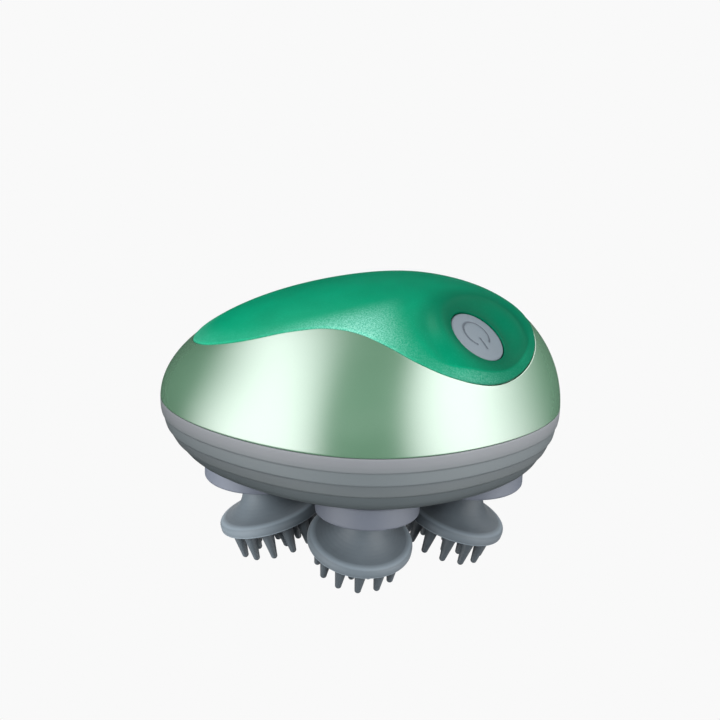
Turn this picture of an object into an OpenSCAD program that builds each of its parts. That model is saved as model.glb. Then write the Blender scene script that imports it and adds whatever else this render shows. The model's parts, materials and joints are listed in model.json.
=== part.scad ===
// Electric scalp massager: egg-shaped body with four tilted silicone heads.
// Frame: X along the long side (+X towards the power button), Y across,
// Z up. The origin is on the resting plane, under the middle of the body.

/* [Body] */
// Half of the body's length
half_length = 66; // [65:0.5:67]
// Half of the body's width
half_width = 51.5; // [51:0.25:52]
// Height of the dome above the seam
dome_height = 41.3; // [41:0.1:42.5]
// Depth of the lower hull below the seam
hull_depth = 20.5; // [20.45:0.05:20.55]
// Wall thickness of both shells
wall = 2.4; // [2.2:0.1:2.6]
// Thickness of the green top inlay
inlay_t = 2.0; // [1.8:0.1:2.1]
// How far the inlay stands above the dome
inlay_raise = 0.4; // [0.2:0.1:0.6]

/* [Button] */
// Radius of the power button
button_r = 10; // [9.6:0.1:10.1]
// Press travel of the power button
button_travel = 0.8; // [0.5:0.1:0.8]

/* [Heads] */
// Tilt of each head from upright, in degrees
head_tilt = 17.5; // [16.5:0.5:18]
// Sideways offset of each head from its turning axis
head_offset = 4.8; // [4.4:0.1:5]
// Outer radius of a head's rim
head_r = 17.4; // [16.9:0.1:17.5]
// Radius of the ring of outer tines
tine_ring = 12.7; // [12.3:0.1:12.9]
// Radius of a tine's rounded tip
tine_tip_r = 1.1; // [0.9:0.05:1.15]
// Radius of a collar disc
collar_r = 17; // [16.5:0.1:17.2]
// Turn of the front head at rest, in degrees
front_phase = 110; // [100:5:115]
// Turn of the right head at rest, in degrees
right_phase = 170; // [155:5:180]
// Turn of the rear head at rest, in degrees
rear_phase = 255; // [250:5:270]
// Turn of the left head at rest, in degrees
left_phase = -5; // [-5:5:5]

/* [Gears] */
// Teeth of the drive gear's lower ring
drive_low_teeth = 24; // [24]
// Teeth of the drive gear's upper ring
drive_high_teeth = 32; // [32]
// Teeth of the front and rear gears
end_teeth = 30; // [30]
// Teeth of the left and right gears
side_teeth = 40; // [40]
// Sideways slack between meshing teeth
backlash = 0.24; // [0.2:0.02:0.3]

/* [Hidden] */

// ---- heights -------------------------------------------------------------
seam_z = 56;                       // plane where dome and hull meet
crease_z = seam_z - 39.5;          // centre of a head's rim crease
collar_z = seam_z - 28.2;          // lower face of the collars
hull_z = seam_z - hull_depth;      // underside of the hull
// distance from the crease plane to the tip centres, so the lowest tips
// just reach z = 0
tip_h = (crease_z - tine_tip_r - tine_ring * sin(head_tilt)) / cos(head_tilt);
plate_z = 52.8;                    // underside of the bearing plate
plate_t = 2.8;
low_gear_z = 39.6;
high_gear_z = 46.2;
gear_t = 5;

// ---- turning axes ----------------------------------------------------------
axis_x = 2;
end_dist = (drive_low_teeth + end_teeth) / 2;
side_dist = (drive_high_teeth + side_teeth) / 2;
front_angle = -88.4;               // the front head stands a little towards the button
front_xy = [axis_x + end_dist * cos(front_angle), end_dist * sin(front_angle)];
rear_xy = [axis_x, end_dist];
left_xy = [axis_x - side_dist, 0];
right_xy = [axis_x + side_dist, 0];
HEADS = [front_xy, rear_xy, left_xy, right_xy];
columns = [for (sx = [-29.5, 29.5], sy = [-26, 26]) [axis_x + sx, sy]];

// ---- body surface ----------------------------------------------------------
NP = 80;                           // steps around the body
function plan(f) = [0.6 + (half_length - 3) * cos(f) - 0.6 * cos(2 * f) + 3 * cos(3 * f),
                    half_width * sin(f)];
// unit normal of the plan outline
function plan_n(f) = let (d = plan(f + 0.5) - plan(f - 0.5)) [d[1], -d[0]] / norm(d);
apex_pull = 15;
apex_lean = 4.5;
function dome0(f, t) = let (p = plan(f), c = cos(t))
  [p[0] * c + apex_pull * (1 - c) + apex_lean * pow(sin(t), 2), p[1] * c,
   seam_z + dome_height * sin(t)];
function unit(v) = v / norm(v);
function dome_n(f, t) = t > 89 ? [0, 0, 1] :
  unit(cross(dome0(f + 0.5, t) - dome0(f - 0.5, t), dome0(f, t + 0.5) - dome0(f, t - 0.5)));
function step01(x) = let (u = min(1, max(0, x))) u * u * (3 - 2 * u);

// button axis: a point on it and its direction
button_tilt = 35.4;
button_az = -29.4;
button_n = [sin(button_tilt) * cos(button_az), sin(button_tilt) * sin(button_az), cos(button_tilt)];
button_c = [36.2, -20.2, 86.4];
// the surface is drawn into a shallow dish, square to the button's axis
function dish(p) = let (d = p - button_c, h = d * button_n, r = norm(d - h * button_n))
  (h < -18) ? [0, 0, 0] :
  button_n * (1 - step01((r - 11) / 7.5)) * (0.1 * max(0, r - 10.5) - h);
function dome(f, t, d) = let (p = dome0(f, t)) p + d * dome_n(f, t) + dish(p);

// inlay outline: dome angle at which the inlay ends, all round the apex
EDGE = [[-180, 27.5], [-168, 30.5], [-161, 34], [-155, 37.5], [-149, 42], [-143, 47.5],
  [-132, 53], [-126, 54], [-118, 54.5], [-108, 53.5], [-98, 51], [-88, 47.5], [-80, 43.5],
  [-72, 39.5], [-65, 35.5], [-58, 32], [-52, 29], [-46, 26.5], [-39, 26], [-31, 28],
  [-23, 31.5], [-11, 38], [-2, 43], [8, 47.5], [16, 51], [30, 54], [50, 54], [70, 51],
  [90, 48], [110, 45], [130, 41], [150, 36], [165, 31], [180, 27.5]];
function wrap(a) = a - 360 * floor((a + 180) / 360);
function edge(f) = (lookup(wrap(f - 5), EDGE) + 2 * lookup(wrap(f - 2.5), EDGE)
  + 2 * lookup(wrap(f), EDGE) + 2 * lookup(wrap(f + 2.5), EDGE) + lookup(wrap(f + 5), EDGE)) / 8;

// hull outline at a depth below the seam, drawn in by an inset
function hull_sx(h) = 1 - 0.184 * pow(h / 22, 2.36);
function hull_sy(h) = 1 - 0.104 * pow(h / 22, 3.2);
function hull_p(f, h, inset) = let (p = plan(f), n = plan_n(f), s = hull_sx(h))
  [p[0] * s + 9.7 * (1 - s) - inset * n[0], p[1] * hull_sy(h) - inset * n[1], seam_z - h];
// depth and inset of the rings down the stepped outside
STEPS = [[0.2, 0.15], [0.5, 0], [3.4, 0], [4.9, 0.1], [5.35, 0.5], [5.8, 0.5], [9.5, 0.3],
  [9.95, 0.75], [10.4, 0.75], [13.7, 0.5], [14.2, 0.98], [14.6, 0.95], [17.4, 0.7], [18.5, 0.85],
  [19.4, 1.4], [20.1, 2.4], [hull_depth, 4]];

// closed skin over rings of equal length, stacked from bottom to top
module skin(rings) {
  n = len(rings[0]);
  m = len(rings);
  polyhedron(points = [for (r = rings) for (p = r) p],
    faces = concat([[for (i = [0:n-1]) i]],
      [for (j = [0:m-2]) for (i = [0:n-1]) [j*n+i, (j+1)*n+i, (j+1)*n+(i+1)%n]],
      [for (j = [0:m-2]) for (i = [0:n-1]) [j*n+i, (j+1)*n+(i+1)%n, j*n+(i+1)%n]],
      [[for (i = [n-1:-1:0]) (m-1)*n+i]]), convexity = 6);
}
// closed ring skin: the last ring joins the first
module ring_skin(rings) {
  n = len(rings[0]);
  m = len(rings);
  polyhedron(points = [for (r = rings) for (p = r) p],
    faces = concat(
      [for (j = [0:m-1]) for (i = [0:n-1]) [j*n+i, ((j+1)%m)*n+i, ((j+1)%m)*n+(i+1)%n]],
      [for (j = [0:m-1]) for (i = [0:n-1]) [j*n+i, ((j+1)%m)*n+(i+1)%n, j*n+(i+1)%n]]),
    convexity = 6);
}
function around(f) = 360 * f / NP;

// ---- gears -----------------------------------------------------------------
function inv(a) = tan(a) * 180 / PI - a;
// half angle of a tooth at radius r
function half_a(n, r) = let (rp = n / 2, rb = rp * cos(20))
  90 / n - backlash / 4 / rp * 180 / PI + inv(20) - (r > rb ? inv(acos(rb / r)) : 0);
function gear_pts(n, ph) = let (rp = n / 2, rb = rp * cos(20), ra = rp + 0.92, rr = rp - 1.25,
    rs = [rr, max(rb, rr + 0.05), rp - 0.45, rp, rp + 0.5, ra])
  [for (i = [0:n-1]) let (a = ph + 360 * i / n)
    for (k = [0:11]) let (r = k < 6 ? rs[k] : rs[11-k], s = k < 6 ? -1 : 1, h = half_a(n, r))
      r * [cos(a + s * h), sin(a + s * h)]];
module toothed(n, ph, t) { linear_extrude(t) polygon(gear_pts(n, ph)); }

// ---- body pieces -----------------------------------------------------------
module on_button() { translate(button_c) rotate([0, button_tilt, button_az]) children(); }

function shell_in(f, t) = dome(f, t, -wall - (inlay_t - 0.3) * step01((t - edge(f) + 16) / 12));
module upper_shell() {
  color("#a9cbb0") difference() {
    union() {
      ring_skin(concat(
        [for (k = [0:8]) [for (i = [0:NP-1]) let (f = around(i)) dome(f, (edge(f) - 0.4) * k / 8, 0)]],
        [for (k = [0:14]) [for (i = [0:NP-1]) let (f = around(i), e = edge(f))
          dome(f, k == 0 ? e - 0.4 : e + (87 - e) * k / 14, -inlay_t - 0.1)]],
        [for (k = [10:-1:0]) [for (i = [0:NP-1]) let (f = around(i)) shell_in(f, 88 * k / 10)]]));
      // crown plug over the pole of the rings
      translate(dome0(0, 90) - [0, 0, inlay_t + 2]) cylinder(r = 3.9, h = 1.7, $fn = 48);
      for (b = columns) {
        translate([b[0], b[1], motor_z + 0.1]) cylinder(r = 3.8, h = 14, $fn = 48);
        let (e = b[0] < 0 ? 42.2 : 41)
          translate([b[0] - 1.2, b[1] > 0 ? b[1] : -e, seam_z + 1.6]) cube([2.4, e - 26, 6.4]);
      }
      on_button() translate([0, 0, -10.4]) cylinder(r = 13.6, h = 7.6, $fn = 64);
    }
    on_button() {
      translate([0, 0, -20]) cylinder(r = button_r + 0.3, h = 40, $fn = 64);
      translate([0, 0, -11]) cylinder(r = 11.7, h = 7.1, $fn = 64);
      translate([0, 0, -3.3]) cylinder(r = 11, h = 1.1, $fn = 64);
      for (a = [90, 270]) rotate([0, 0, a]) translate([12.65, 0, -11]) cylinder(r = 0.55, h = 4, $fn = 24);
    }
    for (b = columns) translate([b[0], b[1], seam_z - 1]) cylinder(r = 1.5, h = 13, $fn = 32);
  }
}

module top_inlay() {
  lip = [[0, -inlay_t], [0, -0.25], [0.15, 0.05], [0.6, 0.75], [1.6, 1], [4, 1.05]];
  color("#0d9168") difference() {
    skin(concat(
      [for (k = [14:-1:0]) [for (i = [0:NP-1]) let (f = around(i), e = edge(f))
        dome(f, e + (87 - e) * k / 14, -inlay_t)]],
      [for (k = [1:5]) [for (i = [0:NP-1]) let (f = around(i), e = edge(f))
        dome(f, e + lip[k][0] * 1.2, lip[k][1] > 0 ? lip[k][1] * inlay_raise : lip[k][1])]],
      [for (k = [1:13]) [for (i = [0:NP-1]) let (f = around(i), e = edge(f) + 4.8)
        dome(f, e + (87 - e) * k / 13, inlay_raise)]]));
    on_button() translate([0, 0, -20]) cylinder(r = button_r + 0.3, h = 40, $fn = 64);
  }
}

module power_button() {
  color("#9299a1") on_button() difference() {
    union() {
      // gently domed cap
      rotate_extrude($fn = 96) polygon([[0, -5], [11.2, -5], [11.2, -4], [button_r, -4],
        [button_r, -0.35], [button_r - 0.15, -0.1], [button_r - 0.5, 0.02], [7, 0.32], [3.5, 0.48], [0, 0.52]]);
      translate([0, 0, -5.9]) cylinder(r = 2.5, h = 1, $fn = 32);
    }
    // standby mark: an open ring and a bar
    rotate([0, 0, -14]) translate([-1, 0, 0.12]) {
      rotate([0, 0, 38]) rotate_extrude(angle = 284, $fn = 96) translate([4.65, 0]) square([0.7, 1]);
      translate([1.8, -0.35, 0]) cube([4.6, 0.7, 1]);
    }
  }
}

module button_seal() {
  color("#3a3d41") on_button() translate([0, 0, -3.25]) difference() {
    cylinder(r = 10.95, h = 1, $fn = 64);
    translate([0, 0, -1]) cylinder(r = button_r + 0.12, h = 3, $fn = 64);
  }
}

module switch_board() {
  color("#1d5c3a") on_button() translate([0, 0, -12]) difference() {
    cylinder(r = 13.6, h = 1.6, $fn = 64);
    for (a = [90, 270]) rotate([0, 0, a]) translate([12.65, 0, -1]) cylinder(r = 0.6, h = 4, $fn = 24);
  }
}

module tact_switch() {
  color("#26282b") on_button() difference() {
    translate([-3.1, -3.1, -10.4]) cube([6.2, 6.2, 3.5]);
    translate([0, 0, -9.3]) cylinder(r = 1.8, h = 4, $fn = 32);
  }
}

module switch_stem() {
  color("#d9dcdf") on_button() translate([0, 0, -8.4]) cylinder(r = 1.7, h = 2.5, $fn = 32);
}

module seam_gasket() {
  function gp(f, d, h) = let (p = plan(f), n = plan_n(f)) [p[0] - d * n[0], p[1] - d * n[1], seam_z + h];
  color("#54585d") ring_skin([for (q = [[wall + 0.5, -1.2], [wall + 0.5, 1.2], [wall + 1.6, 1.2], [wall + 1.6, -1.2]])
    [for (i = [0:NP-1]) gp(around(i), q[0], q[1])]]);
}

jack_pos = [axis_x, 50, 48.7];
module lower_hull() {
  color("#7e878b") difference() {
    union() {
      // outside from the bottom up, over the rim, then down the inside
      skin(concat(
        [for (k = [len(STEPS)-1:-1:0]) [for (i = [0:NP-1]) hull_p(around(i), STEPS[k][0], STEPS[k][1])]],
        [for (q = [[0.2, 0], [6, 0.25], [13, 0.55], [16.6, 0.75], [18.05, 2.6]])
          [for (i = [0:NP-1]) hull_p(around(i), q[0], q[1] + wall)]]));
      for (h = HEADS) translate([h[0], h[1], hull_z]) cylinder(r = 10, h = 38.6 - hull_z, $fn = 64);
      translate([axis_x, 0, hull_z]) cylinder(r = 4.8, h = 38.1 - hull_z, $fn = 48);
      for (p = columns) translate([p[0], p[1], hull_z]) cylinder(r = 3.8, h = plate_z - hull_z, $fn = 48);
    }
    for (h = HEADS) {
      translate([h[0], h[1], hull_z - 1]) cylinder(r = 8, h = 10, $fn = 64);
    }
    translate([axis_x, 0, hull_z + 1]) cylinder(r = 3, h = 10, $fn = 48);
    for (b = columns) translate([b[0], b[1], hull_z - 1]) {
      cylinder(r = 1.6, h = 30, $fn = 32);
      cylinder(r = 2.8, h = 4, $fn = 48);
    }
    translate(jack_pos + [0, -6, 0]) rotate([-90, 0, 0]) cylinder(r = 4.1, h = 12, $fn = 48);
  }
}

module bearing_plate() {
  color("#c7c3b8") translate([0, 0, plate_z]) difference() {
    union() {
      translate([axis_x - 29.5, -30, 0]) cube([59, 60, plate_t]);
      translate([axis_x - 36, -10, 0]) cube([72, 20, plate_t]);
      for (p = columns) translate([p[0], p[1], 0]) cylinder(r = 4.5, h = plate_t, $fn = 48);
      for (h = [front_xy, rear_xy]) translate([h[0], h[1], 0]) cylinder(r = 9, h = plate_t, $fn = 64);
      for (h = [left_xy, right_xy]) translate([h[0], h[1], 0]) cylinder(r = 10, h = plate_t, $fn = 64);
      // standoffs for the main board
      for (y = [-13, 11]) translate([-18.5, y, 0]) cylinder(r = 2.4, h = plate_t + 3, $fn = 32);
    }
    for (h = HEADS) translate([h[0], h[1], -1]) cylinder(r = 5, h = 6, $fn = 48);
    translate([axis_x, 0, -1]) cylinder(r = 6.1, h = 6, $fn = 48);
    for (p = columns) translate([p[0], p[1], -1]) cylinder(r = 1.6, h = 6, $fn = 32);
    for (sx = [-9.5, 9.5]) translate([axis_x + sx, 0, -1]) cylinder(r = 1.6, h = 6, $fn = 32);
    for (y = [-13, 11]) translate([-18.5, y, 1]) cylinder(r = 0.9, h = 8, $fn = 24);
  }
}

// ---- motor and drive ---------------------------------------------------------
motor_z = plate_z + plate_t;
module motor_gearbox() {
  color("#8d8f92") difference() {
    union() {
      translate([axis_x, 0, motor_z]) cylinder(r = 13.5, h = 11, $fn = 96);
      translate([axis_x, 0, plate_z + 0.1]) cylinder(r = 6, h = plate_t, $fn = 64);
    }
    translate([axis_x, 0, plate_z - 1]) cylinder(r = 2.06, h = 11, $fn = 48);
    for (sx = [-9.5, 9.5]) translate([axis_x + sx, 0, motor_z - 1]) cylinder(r = 1.25, h = 6, $fn = 32);
  }
}
module motor_can() {
  color("#b8babd") translate([axis_x, 0, motor_z + 11]) union() {
    cylinder(r = 12.2, h = 19.5, $fn = 96);
    translate([0, 0, 19.5]) cylinder(r = 4.5, h = 1.4, $fn = 48);
    for (sy = [-8, 8]) translate([-1, sy - 0.3, 19.5]) cube([2, 0.6, 2.2]);
  }
}
module motor_shaft() {
  color("#cfd1d4") translate([axis_x, 0, 36.6]) cylinder(r = 2, h = 24.8, $fn = 48);
}
module drive_gear() {
  color("#e8e3d2") translate([axis_x, 0, 0]) difference() {
    union() {
      translate([0, 0, low_gear_z - 0.2]) toothed(drive_low_teeth, 0, gear_t + 0.4);
      translate([0, 0, high_gear_z - 0.2]) toothed(drive_high_teeth, 0, gear_t + 0.4);
      translate([0, 0, 38.2]) cylinder(r = 5, h = 14, $fn = 64);
      translate([0, 0, low_gear_z]) cylinder(r = 9.5, h = 8, $fn = 64);
    }
    translate([0, 0, 30]) cylinder(r = 2, h = 30, $fn = 48);
  }
}
module pilot_bush() {
  color("#c79a4b") translate([axis_x, 0, hull_z + 1]) difference() {
    cylinder(r = 3, h = 1.6, $fn = 48);
    translate([0, 0, -1]) cylinder(r = 2.05, h = 6, $fn = 48);
  }
}

// tooth phase of a gear that meshes with the drive gear in direction a
function mesh_phase(nd, n, a) = (nd * a + n * (a + 180) - 180) / n;

module end_gear(xy, a) {
  color("#f0ece0") translate([xy[0], xy[1], 0]) difference() {
    union() {
      translate([0, 0, low_gear_z]) toothed(end_teeth, mesh_phase(drive_low_teeth, end_teeth, a), gear_t);
      translate([0, 0, 39.1]) cylinder(r = 5.5, h = 8, $fn = 48);
    }
    translate([0, 0, 30]) cylinder(r = 3, h = 30, $fn = 48);
  }
}
module side_gear(xy, a) {
  color("#f0ece0") translate([xy[0], xy[1], 0]) difference() {
    union() {
      translate([0, 0, high_gear_z]) toothed(side_teeth, mesh_phase(drive_high_teeth, side_teeth, a), gear_t);
      translate([0, 0, 39.1]) cylinder(r = 5.5, h = 13.1, $fn = 48);
    }
    translate([0, 0, 30]) cylinder(r = 3, h = 30, $fn = 48);
    // lightening holes
    for (k = [0:5]) rotate([0, 0, 60 * k]) translate([12, 0, 40]) cylinder(r = 3.4, h = 20, $fn = 32);
  }
}
module front_gear() end_gear(front_xy, front_angle);
module rear_gear() end_gear(rear_xy, 90);
module left_gear() side_gear(left_xy, 180);
module right_gear() side_gear(right_xy, 0);

module spindle(xy) { color("#d4d6d9") translate([xy[0], xy[1], 33.2]) cylinder(r = 3, h = 21.9, $fn = 48); }
module front_spindle() spindle(front_xy);
module rear_spindle() spindle(rear_xy);
module left_spindle() spindle(left_xy);
module right_spindle() spindle(right_xy);

// ---- heads -------------------------------------------------------------------
// head frame: origin at the crease centre, +Z up the tilted neck, the low side
// of the rim at -X
module head_at(xy, ph) {
  translate([xy[0], xy[1], crease_z]) rotate([0, 0, ph]) translate([head_offset, 0, 0])
    rotate([0, -head_tilt, 0]) children();
}
neck_h = (collar_z - crease_z) / cos(head_tilt);

module collar(xy, ph) {
  color("#848c98") difference() {
    translate([xy[0], xy[1], 0]) union() {
      translate([0, 0, collar_z]) rotate_extrude($fn = 128) polygon([[0, 0], [collar_r - 0.9, 0],
        [collar_r - 0.35, 0.12], [collar_r - 0.05, 0.5], [collar_r, 1], [collar_r, 6.9],
        [collar_r - 0.2, 7.3], [collar_r - 0.6, 7.4], [0, 7.4]]);
      translate([0, 0, collar_z + 7]) cylinder(r = 6, h = 38.6 - collar_z - 7, $fn = 64);
    }
    translate([xy[0], xy[1], 33.2]) cylinder(r = 3, h = 20, $fn = 48);
    head_at(xy, ph) {
      translate([0, 0, 4]) cylinder(r = 5.1, h = neck_h + 2 - 4, $fn = 48);
      translate([0, 0, 4]) cylinder(r = 1.3, h = neck_h + 4.6 - 4, $fn = 32);
    }
  }
}
module front_collar() collar(front_xy, front_phase);
module rear_collar() collar(rear_xy, rear_phase);
module left_collar() collar(left_xy, left_phase);
module right_collar() collar(right_xy, right_phase);

// stiff core: neck peg and disc
module head_core(xy, ph) {
  color("#4a4f55") head_at(xy, ph) difference() {
    rotate_extrude($fn = 96) polygon([[0, -3.4], [4.4, -3.4], [4.4, -2], [12.6, -2], [13, -1.6], [13, -1.1], [12.6, -0.8],
      [9.5, 0.1], [6.4, 1.8], [5.2, 4], [5, 6], [5, neck_h + 1.9], [0, neck_h + 1.9]]);
    translate([0, 0, -6]) cylinder(r = 1.5, h = 30, $fn = 32);
    translate([0, 0, -6]) cylinder(r = 2.8, h = 4.4, $fn = 48);
  }
}
module front_head_core() head_core(front_xy, front_phase);
module rear_head_core() head_core(rear_xy, rear_phase);
module left_head_core() head_core(left_xy, left_phase);
module right_head_core() head_core(right_xy, right_phase);

// one tine, standing on the underside
module tine(h, r0, r1) {
  translate([0, 0, -h]) cylinder(r1 = r1, r2 = r0, h = h - 3.1, $fn = 32);
  translate([0, 0, -h]) sphere(r = r1, $fn = 32);
}
// silicone cover: flared skirt, rim band and tines
module head_pad(xy, ph, turn) {
  k = head_r - 17;
  color("#6d757c") difference() {
    head_at(xy, ph) union() {
      rotate_extrude($fn = 96) polygon([[0, -4.3], [5.3, -4.3], [5.9, -4], [6.3, -3.25], [16.4 + k, -3.25],
        [16.8 + k, -3.15], [17 + k, -2.9], [17 + k, -1.3], [16.85 + k, -0.6], [16.4 + k, 0],
        [15.7 + k, 0.35], [13.6, 1.1], [11.2, 2.3], [9.2, 3.8], [7.8, 5.4], [6.9, 7.2], [6.5, neck_h - 1.95],
        [6.4, neck_h + 2.4], [0, neck_h + 2.4]]);
      for (i = [0:11]) rotate([0, 0, turn + 30 * i]) translate([tine_ring, 0, 0]) tine(tip_h, 2.35, tine_tip_r);
      for (i = [0:7]) rotate([0, 0, turn + 45 * i]) translate([7.4, 0, 0]) tine(tip_h - 0.8, 2.1, tine_tip_r);
      tine(tip_h - 1.2, 2.1, tine_tip_r);
    }
    // room for the core
    head_at(xy, ph) rotate_extrude($fn = 96) polygon([[0, -3.5], [4.5, -3.5], [4.5, -2.1], [12.7, -2.1], [13.1, -1.65], [13.1, -1.05], [12.7, -0.7],
      [9.6, 0.22], [6.55, 1.9], [5.32, 4.05], [5.1, 6], [5.1, neck_h + 4], [0, neck_h + 4]]);
    // the neck ends square against the collar
    translate([xy[0] - 30, xy[1] - 30, collar_z - 0.05]) cube([60, 60, 20]);
  }
}
module front_head_pad() head_pad(front_xy, front_phase, 14);
module rear_head_pad() head_pad(rear_xy, rear_phase, 15);
module left_head_pad() head_pad(left_xy, left_phase, 28);
module right_head_pad() head_pad(right_xy, right_phase, 7);

module head_screw(xy, ph) {
  color("#9ea2a6") head_at(xy, ph) difference() {
    union() {
      translate([0, 0, -3.3]) cylinder(r = 2.7, h = 1.6, $fn = 48);
      translate([0, 0, -2.5]) cylinder(r = 1.25, h = neck_h + 4.3 + 2.5, $fn = 32);
    }
    // cross recess
    for (a = [0, 90]) rotate([0, 0, a]) translate([-1.5, -0.3, -4]) cube([3, 0.6, 1.6]);
  }
}
module front_head_screw() head_screw(front_xy, front_phase);
module rear_head_screw() head_screw(rear_xy, rear_phase);
module left_head_screw() head_screw(left_xy, left_phase);
module right_head_screw() head_screw(right_xy, right_phase);

// ---- bearings and seals --------------------------------------------------------
module lower_bushes() {
  color("#c79a4b") for (h = HEADS) translate([h[0], h[1], 36.6]) difference() {
    cylinder(r = 8, h = 2, $fn = 64);
    translate([0, 0, -1]) cylinder(r = 6.05, h = 6, $fn = 64);
  }
}
module upper_bushes() {
  color("#c79a4b") for (h = HEADS) translate([h[0], h[1], plate_z]) difference() {
    cylinder(r = 5, h = 2.6, $fn = 48);
    translate([0, 0, -1]) cylinder(r = 3.05, h = 6, $fn = 48);
  }
}
module shaft_seals() {
  color("#2c2f33") for (h = HEADS) translate([h[0], h[1], 35.6]) difference() {
    cylinder(r = 7.95, h = 0.9, $fn = 64);
    translate([0, 0, -1]) cylinder(r = 6.1, h = 6, $fn = 64);
  }
}

// ---- power ---------------------------------------------------------------------
cell_c = [axis_x, 25.2, 67.2];
module battery_cell() {
  color("#3f7fb5") translate(cell_c) rotate([0, 90, 0]) union() {
    translate([0, 0, -24.8]) cylinder(r = 9.1, h = 48.6, $fn = 96);
    translate([0, 0, 23]) cylinder(r = 3.4, h = 1.8, $fn = 48);
  }
}
module battery_cradle() {
  color("#d9d7cf") difference() {
    union() {
      translate([axis_x - 17, 16.2, motor_z]) cube([34, 18, 7]);
      for (x = [-17, 14]) translate([axis_x + x, 15.2, motor_z]) cube([3, 20, 10.5]);
    }
    translate(cell_c - [60, 0, 0]) rotate([0, 90, 0]) cylinder(r = 9.15, h = 120, $fn = 96);
    translate([axis_x - 12, 10, motor_z - 1]) cube([24, 30, 2]);
    translate([axis_x, 0, motor_z - 2]) cylinder(r = 14, h = 30, $fn = 64);
  }
}
module main_board() {
  color("#1d6b3f") difference() {
    translate([-47, -17, motor_z + 3]) cube([34, 31, 1.6]);
    for (y = [-13, 11]) translate([-18.5, y, motor_z]) cylinder(r = 0.95, h = 8, $fn = 24);
    translate([axis_x, 0, motor_z]) cylinder(r = 14, h = 10, $fn = 64);
  }
}
board_top = motor_z + 4.6;
// four lead sockets on the main board
module board_plugs() {
  color("#efece2") for (q = [[-44, -12], [-34, -12], [-44, 4], [-34, 4]])
    translate([q[0], q[1], board_top]) cube([5, 6, 4]);
}
module charge_jack() {
  color("#33373b") translate(jack_pos) rotate([90, 0, 0]) difference() {
    union() {
      cylinder(r = 4, h = 3.5, $fn = 64);
      translate([-3.4, -3.4, 3.5]) cube([6.8, 6.8, 8.1]);
    }
    translate([0, 0, -1]) cylinder(r = 1.27, h = 10, $fn = 48);
  }
}

// ---- screws ----------------------------------------------------------------------
// pan-head screw, head down, tip up
module screw(hr, hh, r, l) {
  difference() {
    cylinder(r = hr, h = hh, $fn = 48);
    for (a = [0, 90]) rotate([0, 0, a]) translate([-hr * 0.6, -0.35, -1]) cube([hr * 1.2, 0.7, 1 + hh * 0.55]);
  }
  translate([0, 0, hh * 0.6]) cylinder(r = r, h = l + hh * 0.4, $fn = 32);
}
module case_screws() {
  color("#8f9397") for (b = columns) translate([b[0], b[1], hull_z + 0.9]) screw(2.6, 2, 1.4, 29.3);
}
module motor_screws() {
  color("#8f9397") for (sx = [-9.5, 9.5]) translate([axis_x + sx, 0, plate_z - 0.9]) screw(2.4, 0.9, 1.2, 6.8);
}
module switch_screws() {
  color("#8f9397") on_button() for (a = [90, 270]) rotate([0, 0, a]) translate([12.65, 0, -13.1]) screw(1.1, 1.1, 0.5, 4);
}

// ---- leads -----------------------------------------------------------------------
// round lead along a smooth path through hand-set points
function cr(p, i, u) = let (n = len(p), a = p[max(0, i-1)], b = p[i], c = p[min(n-1, i+1)], d = p[min(n-1, i+2)])
  0.5 * (2*b + (c-a)*u + (2*a-5*b+4*c-d)*u*u + (3*b-a-3*c+d)*u*u*u);
function path(p) = concat([for (i = [0:len(p)-2]) for (k = [0:4]) cr(p, i, k / 5)], [p[len(p)-1]]);
function dir_at(q, j) = unit(q[min(len(q)-1, j+1)] - q[max(0, j-1)]);
// side vectors that turn as little as possible along the path
function sides(q, j, u, acc) = j == len(q) ? acc :
  let (t = dir_at(q, j), v = unit(u - (u * t) * t)) sides(q, j + 1, v, concat(acc, [v]));
module lead(pts, r) {
  q = path(pts);
  t0 = dir_at(q, 0);
  us = sides(q, 0, cross(t0, [0.11, 0.23, 0.97]), []);
  skin([for (j = [0:len(q)-1]) let (t = dir_at(q, j), u = us[j], v = cross(t, u))
    [for (i = [0:7]) q[j] + r * (cos(45 * i) * u + sin(45 * i) * v)]]);
}
module battery_leads() {
  color("#c0392b") {
    lead([[-23.5, 22.6, 66.4], [-24.6, 20, 66.6], [-29, 16.6, 67.4], [-35, 12.6, 69], [-40, 9, 68.4], [-41.5, 7, 66.2], [-41.5, 7, 64.4]], 0.6);
    lead([[27.6, 22.4, 67], [27.4, 20, 69.4], [25.6, 16.4, 76], [18, 14.6, 82.6], [8, 16, 84.6], [-6, 17, 81], [-20, 15, 77], [-34, 11, 73], [-42, 8.6, 69.6], [-43.3, 7, 66.4], [-43.3, 7, 64.4]], 0.6);
  }
}
module motor_leads() {
  color("#2b2b2b") {
    lead([[1.6, 8, 89.1], [-2, 8.6, 89], [-8, 9, 86.2], [-14, 7.6, 79], [-22, 7, 70.6], [-29, 6.6, 67.2], [-30.7, 6.4, 65.8], [-30.7, 6.4, 64.4]], 0.6);
    lead([[1.6, -8, 89.1], [-2, -8.2, 89], [-9, -7, 86], [-15.6, -4, 79], [-23, 1, 71.6], [-30, 4.2, 68.4], [-32.7, 5.2, 66.2], [-32.7, 5.2, 64.4]], 0.6);
  }
}
module switch_leads() {
  color("#e6e6e6") for (s = [0, 1])
    lead([button_c - 12.1 * button_n + [0.59, 1.05, 0] * (1 - 2 * s), button_c - 15 * button_n + [0.59, 1.05, 0] * (1 - 2 * s),
      [22, -18.6 - 2.4 * s, 70.6], [12, -22 - 2 * s, 69.4], [0, -22 - 2 * s, 69], [-16, -17.4 - 1.6 * s, 69], [-27, -12 - 1.8 * s, 68.6],
      [-31 - 1.6 * s, -9.4, 66.4], [-31 - 1.6 * s, -9.4, 64.4]], 0.5);
}
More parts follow.
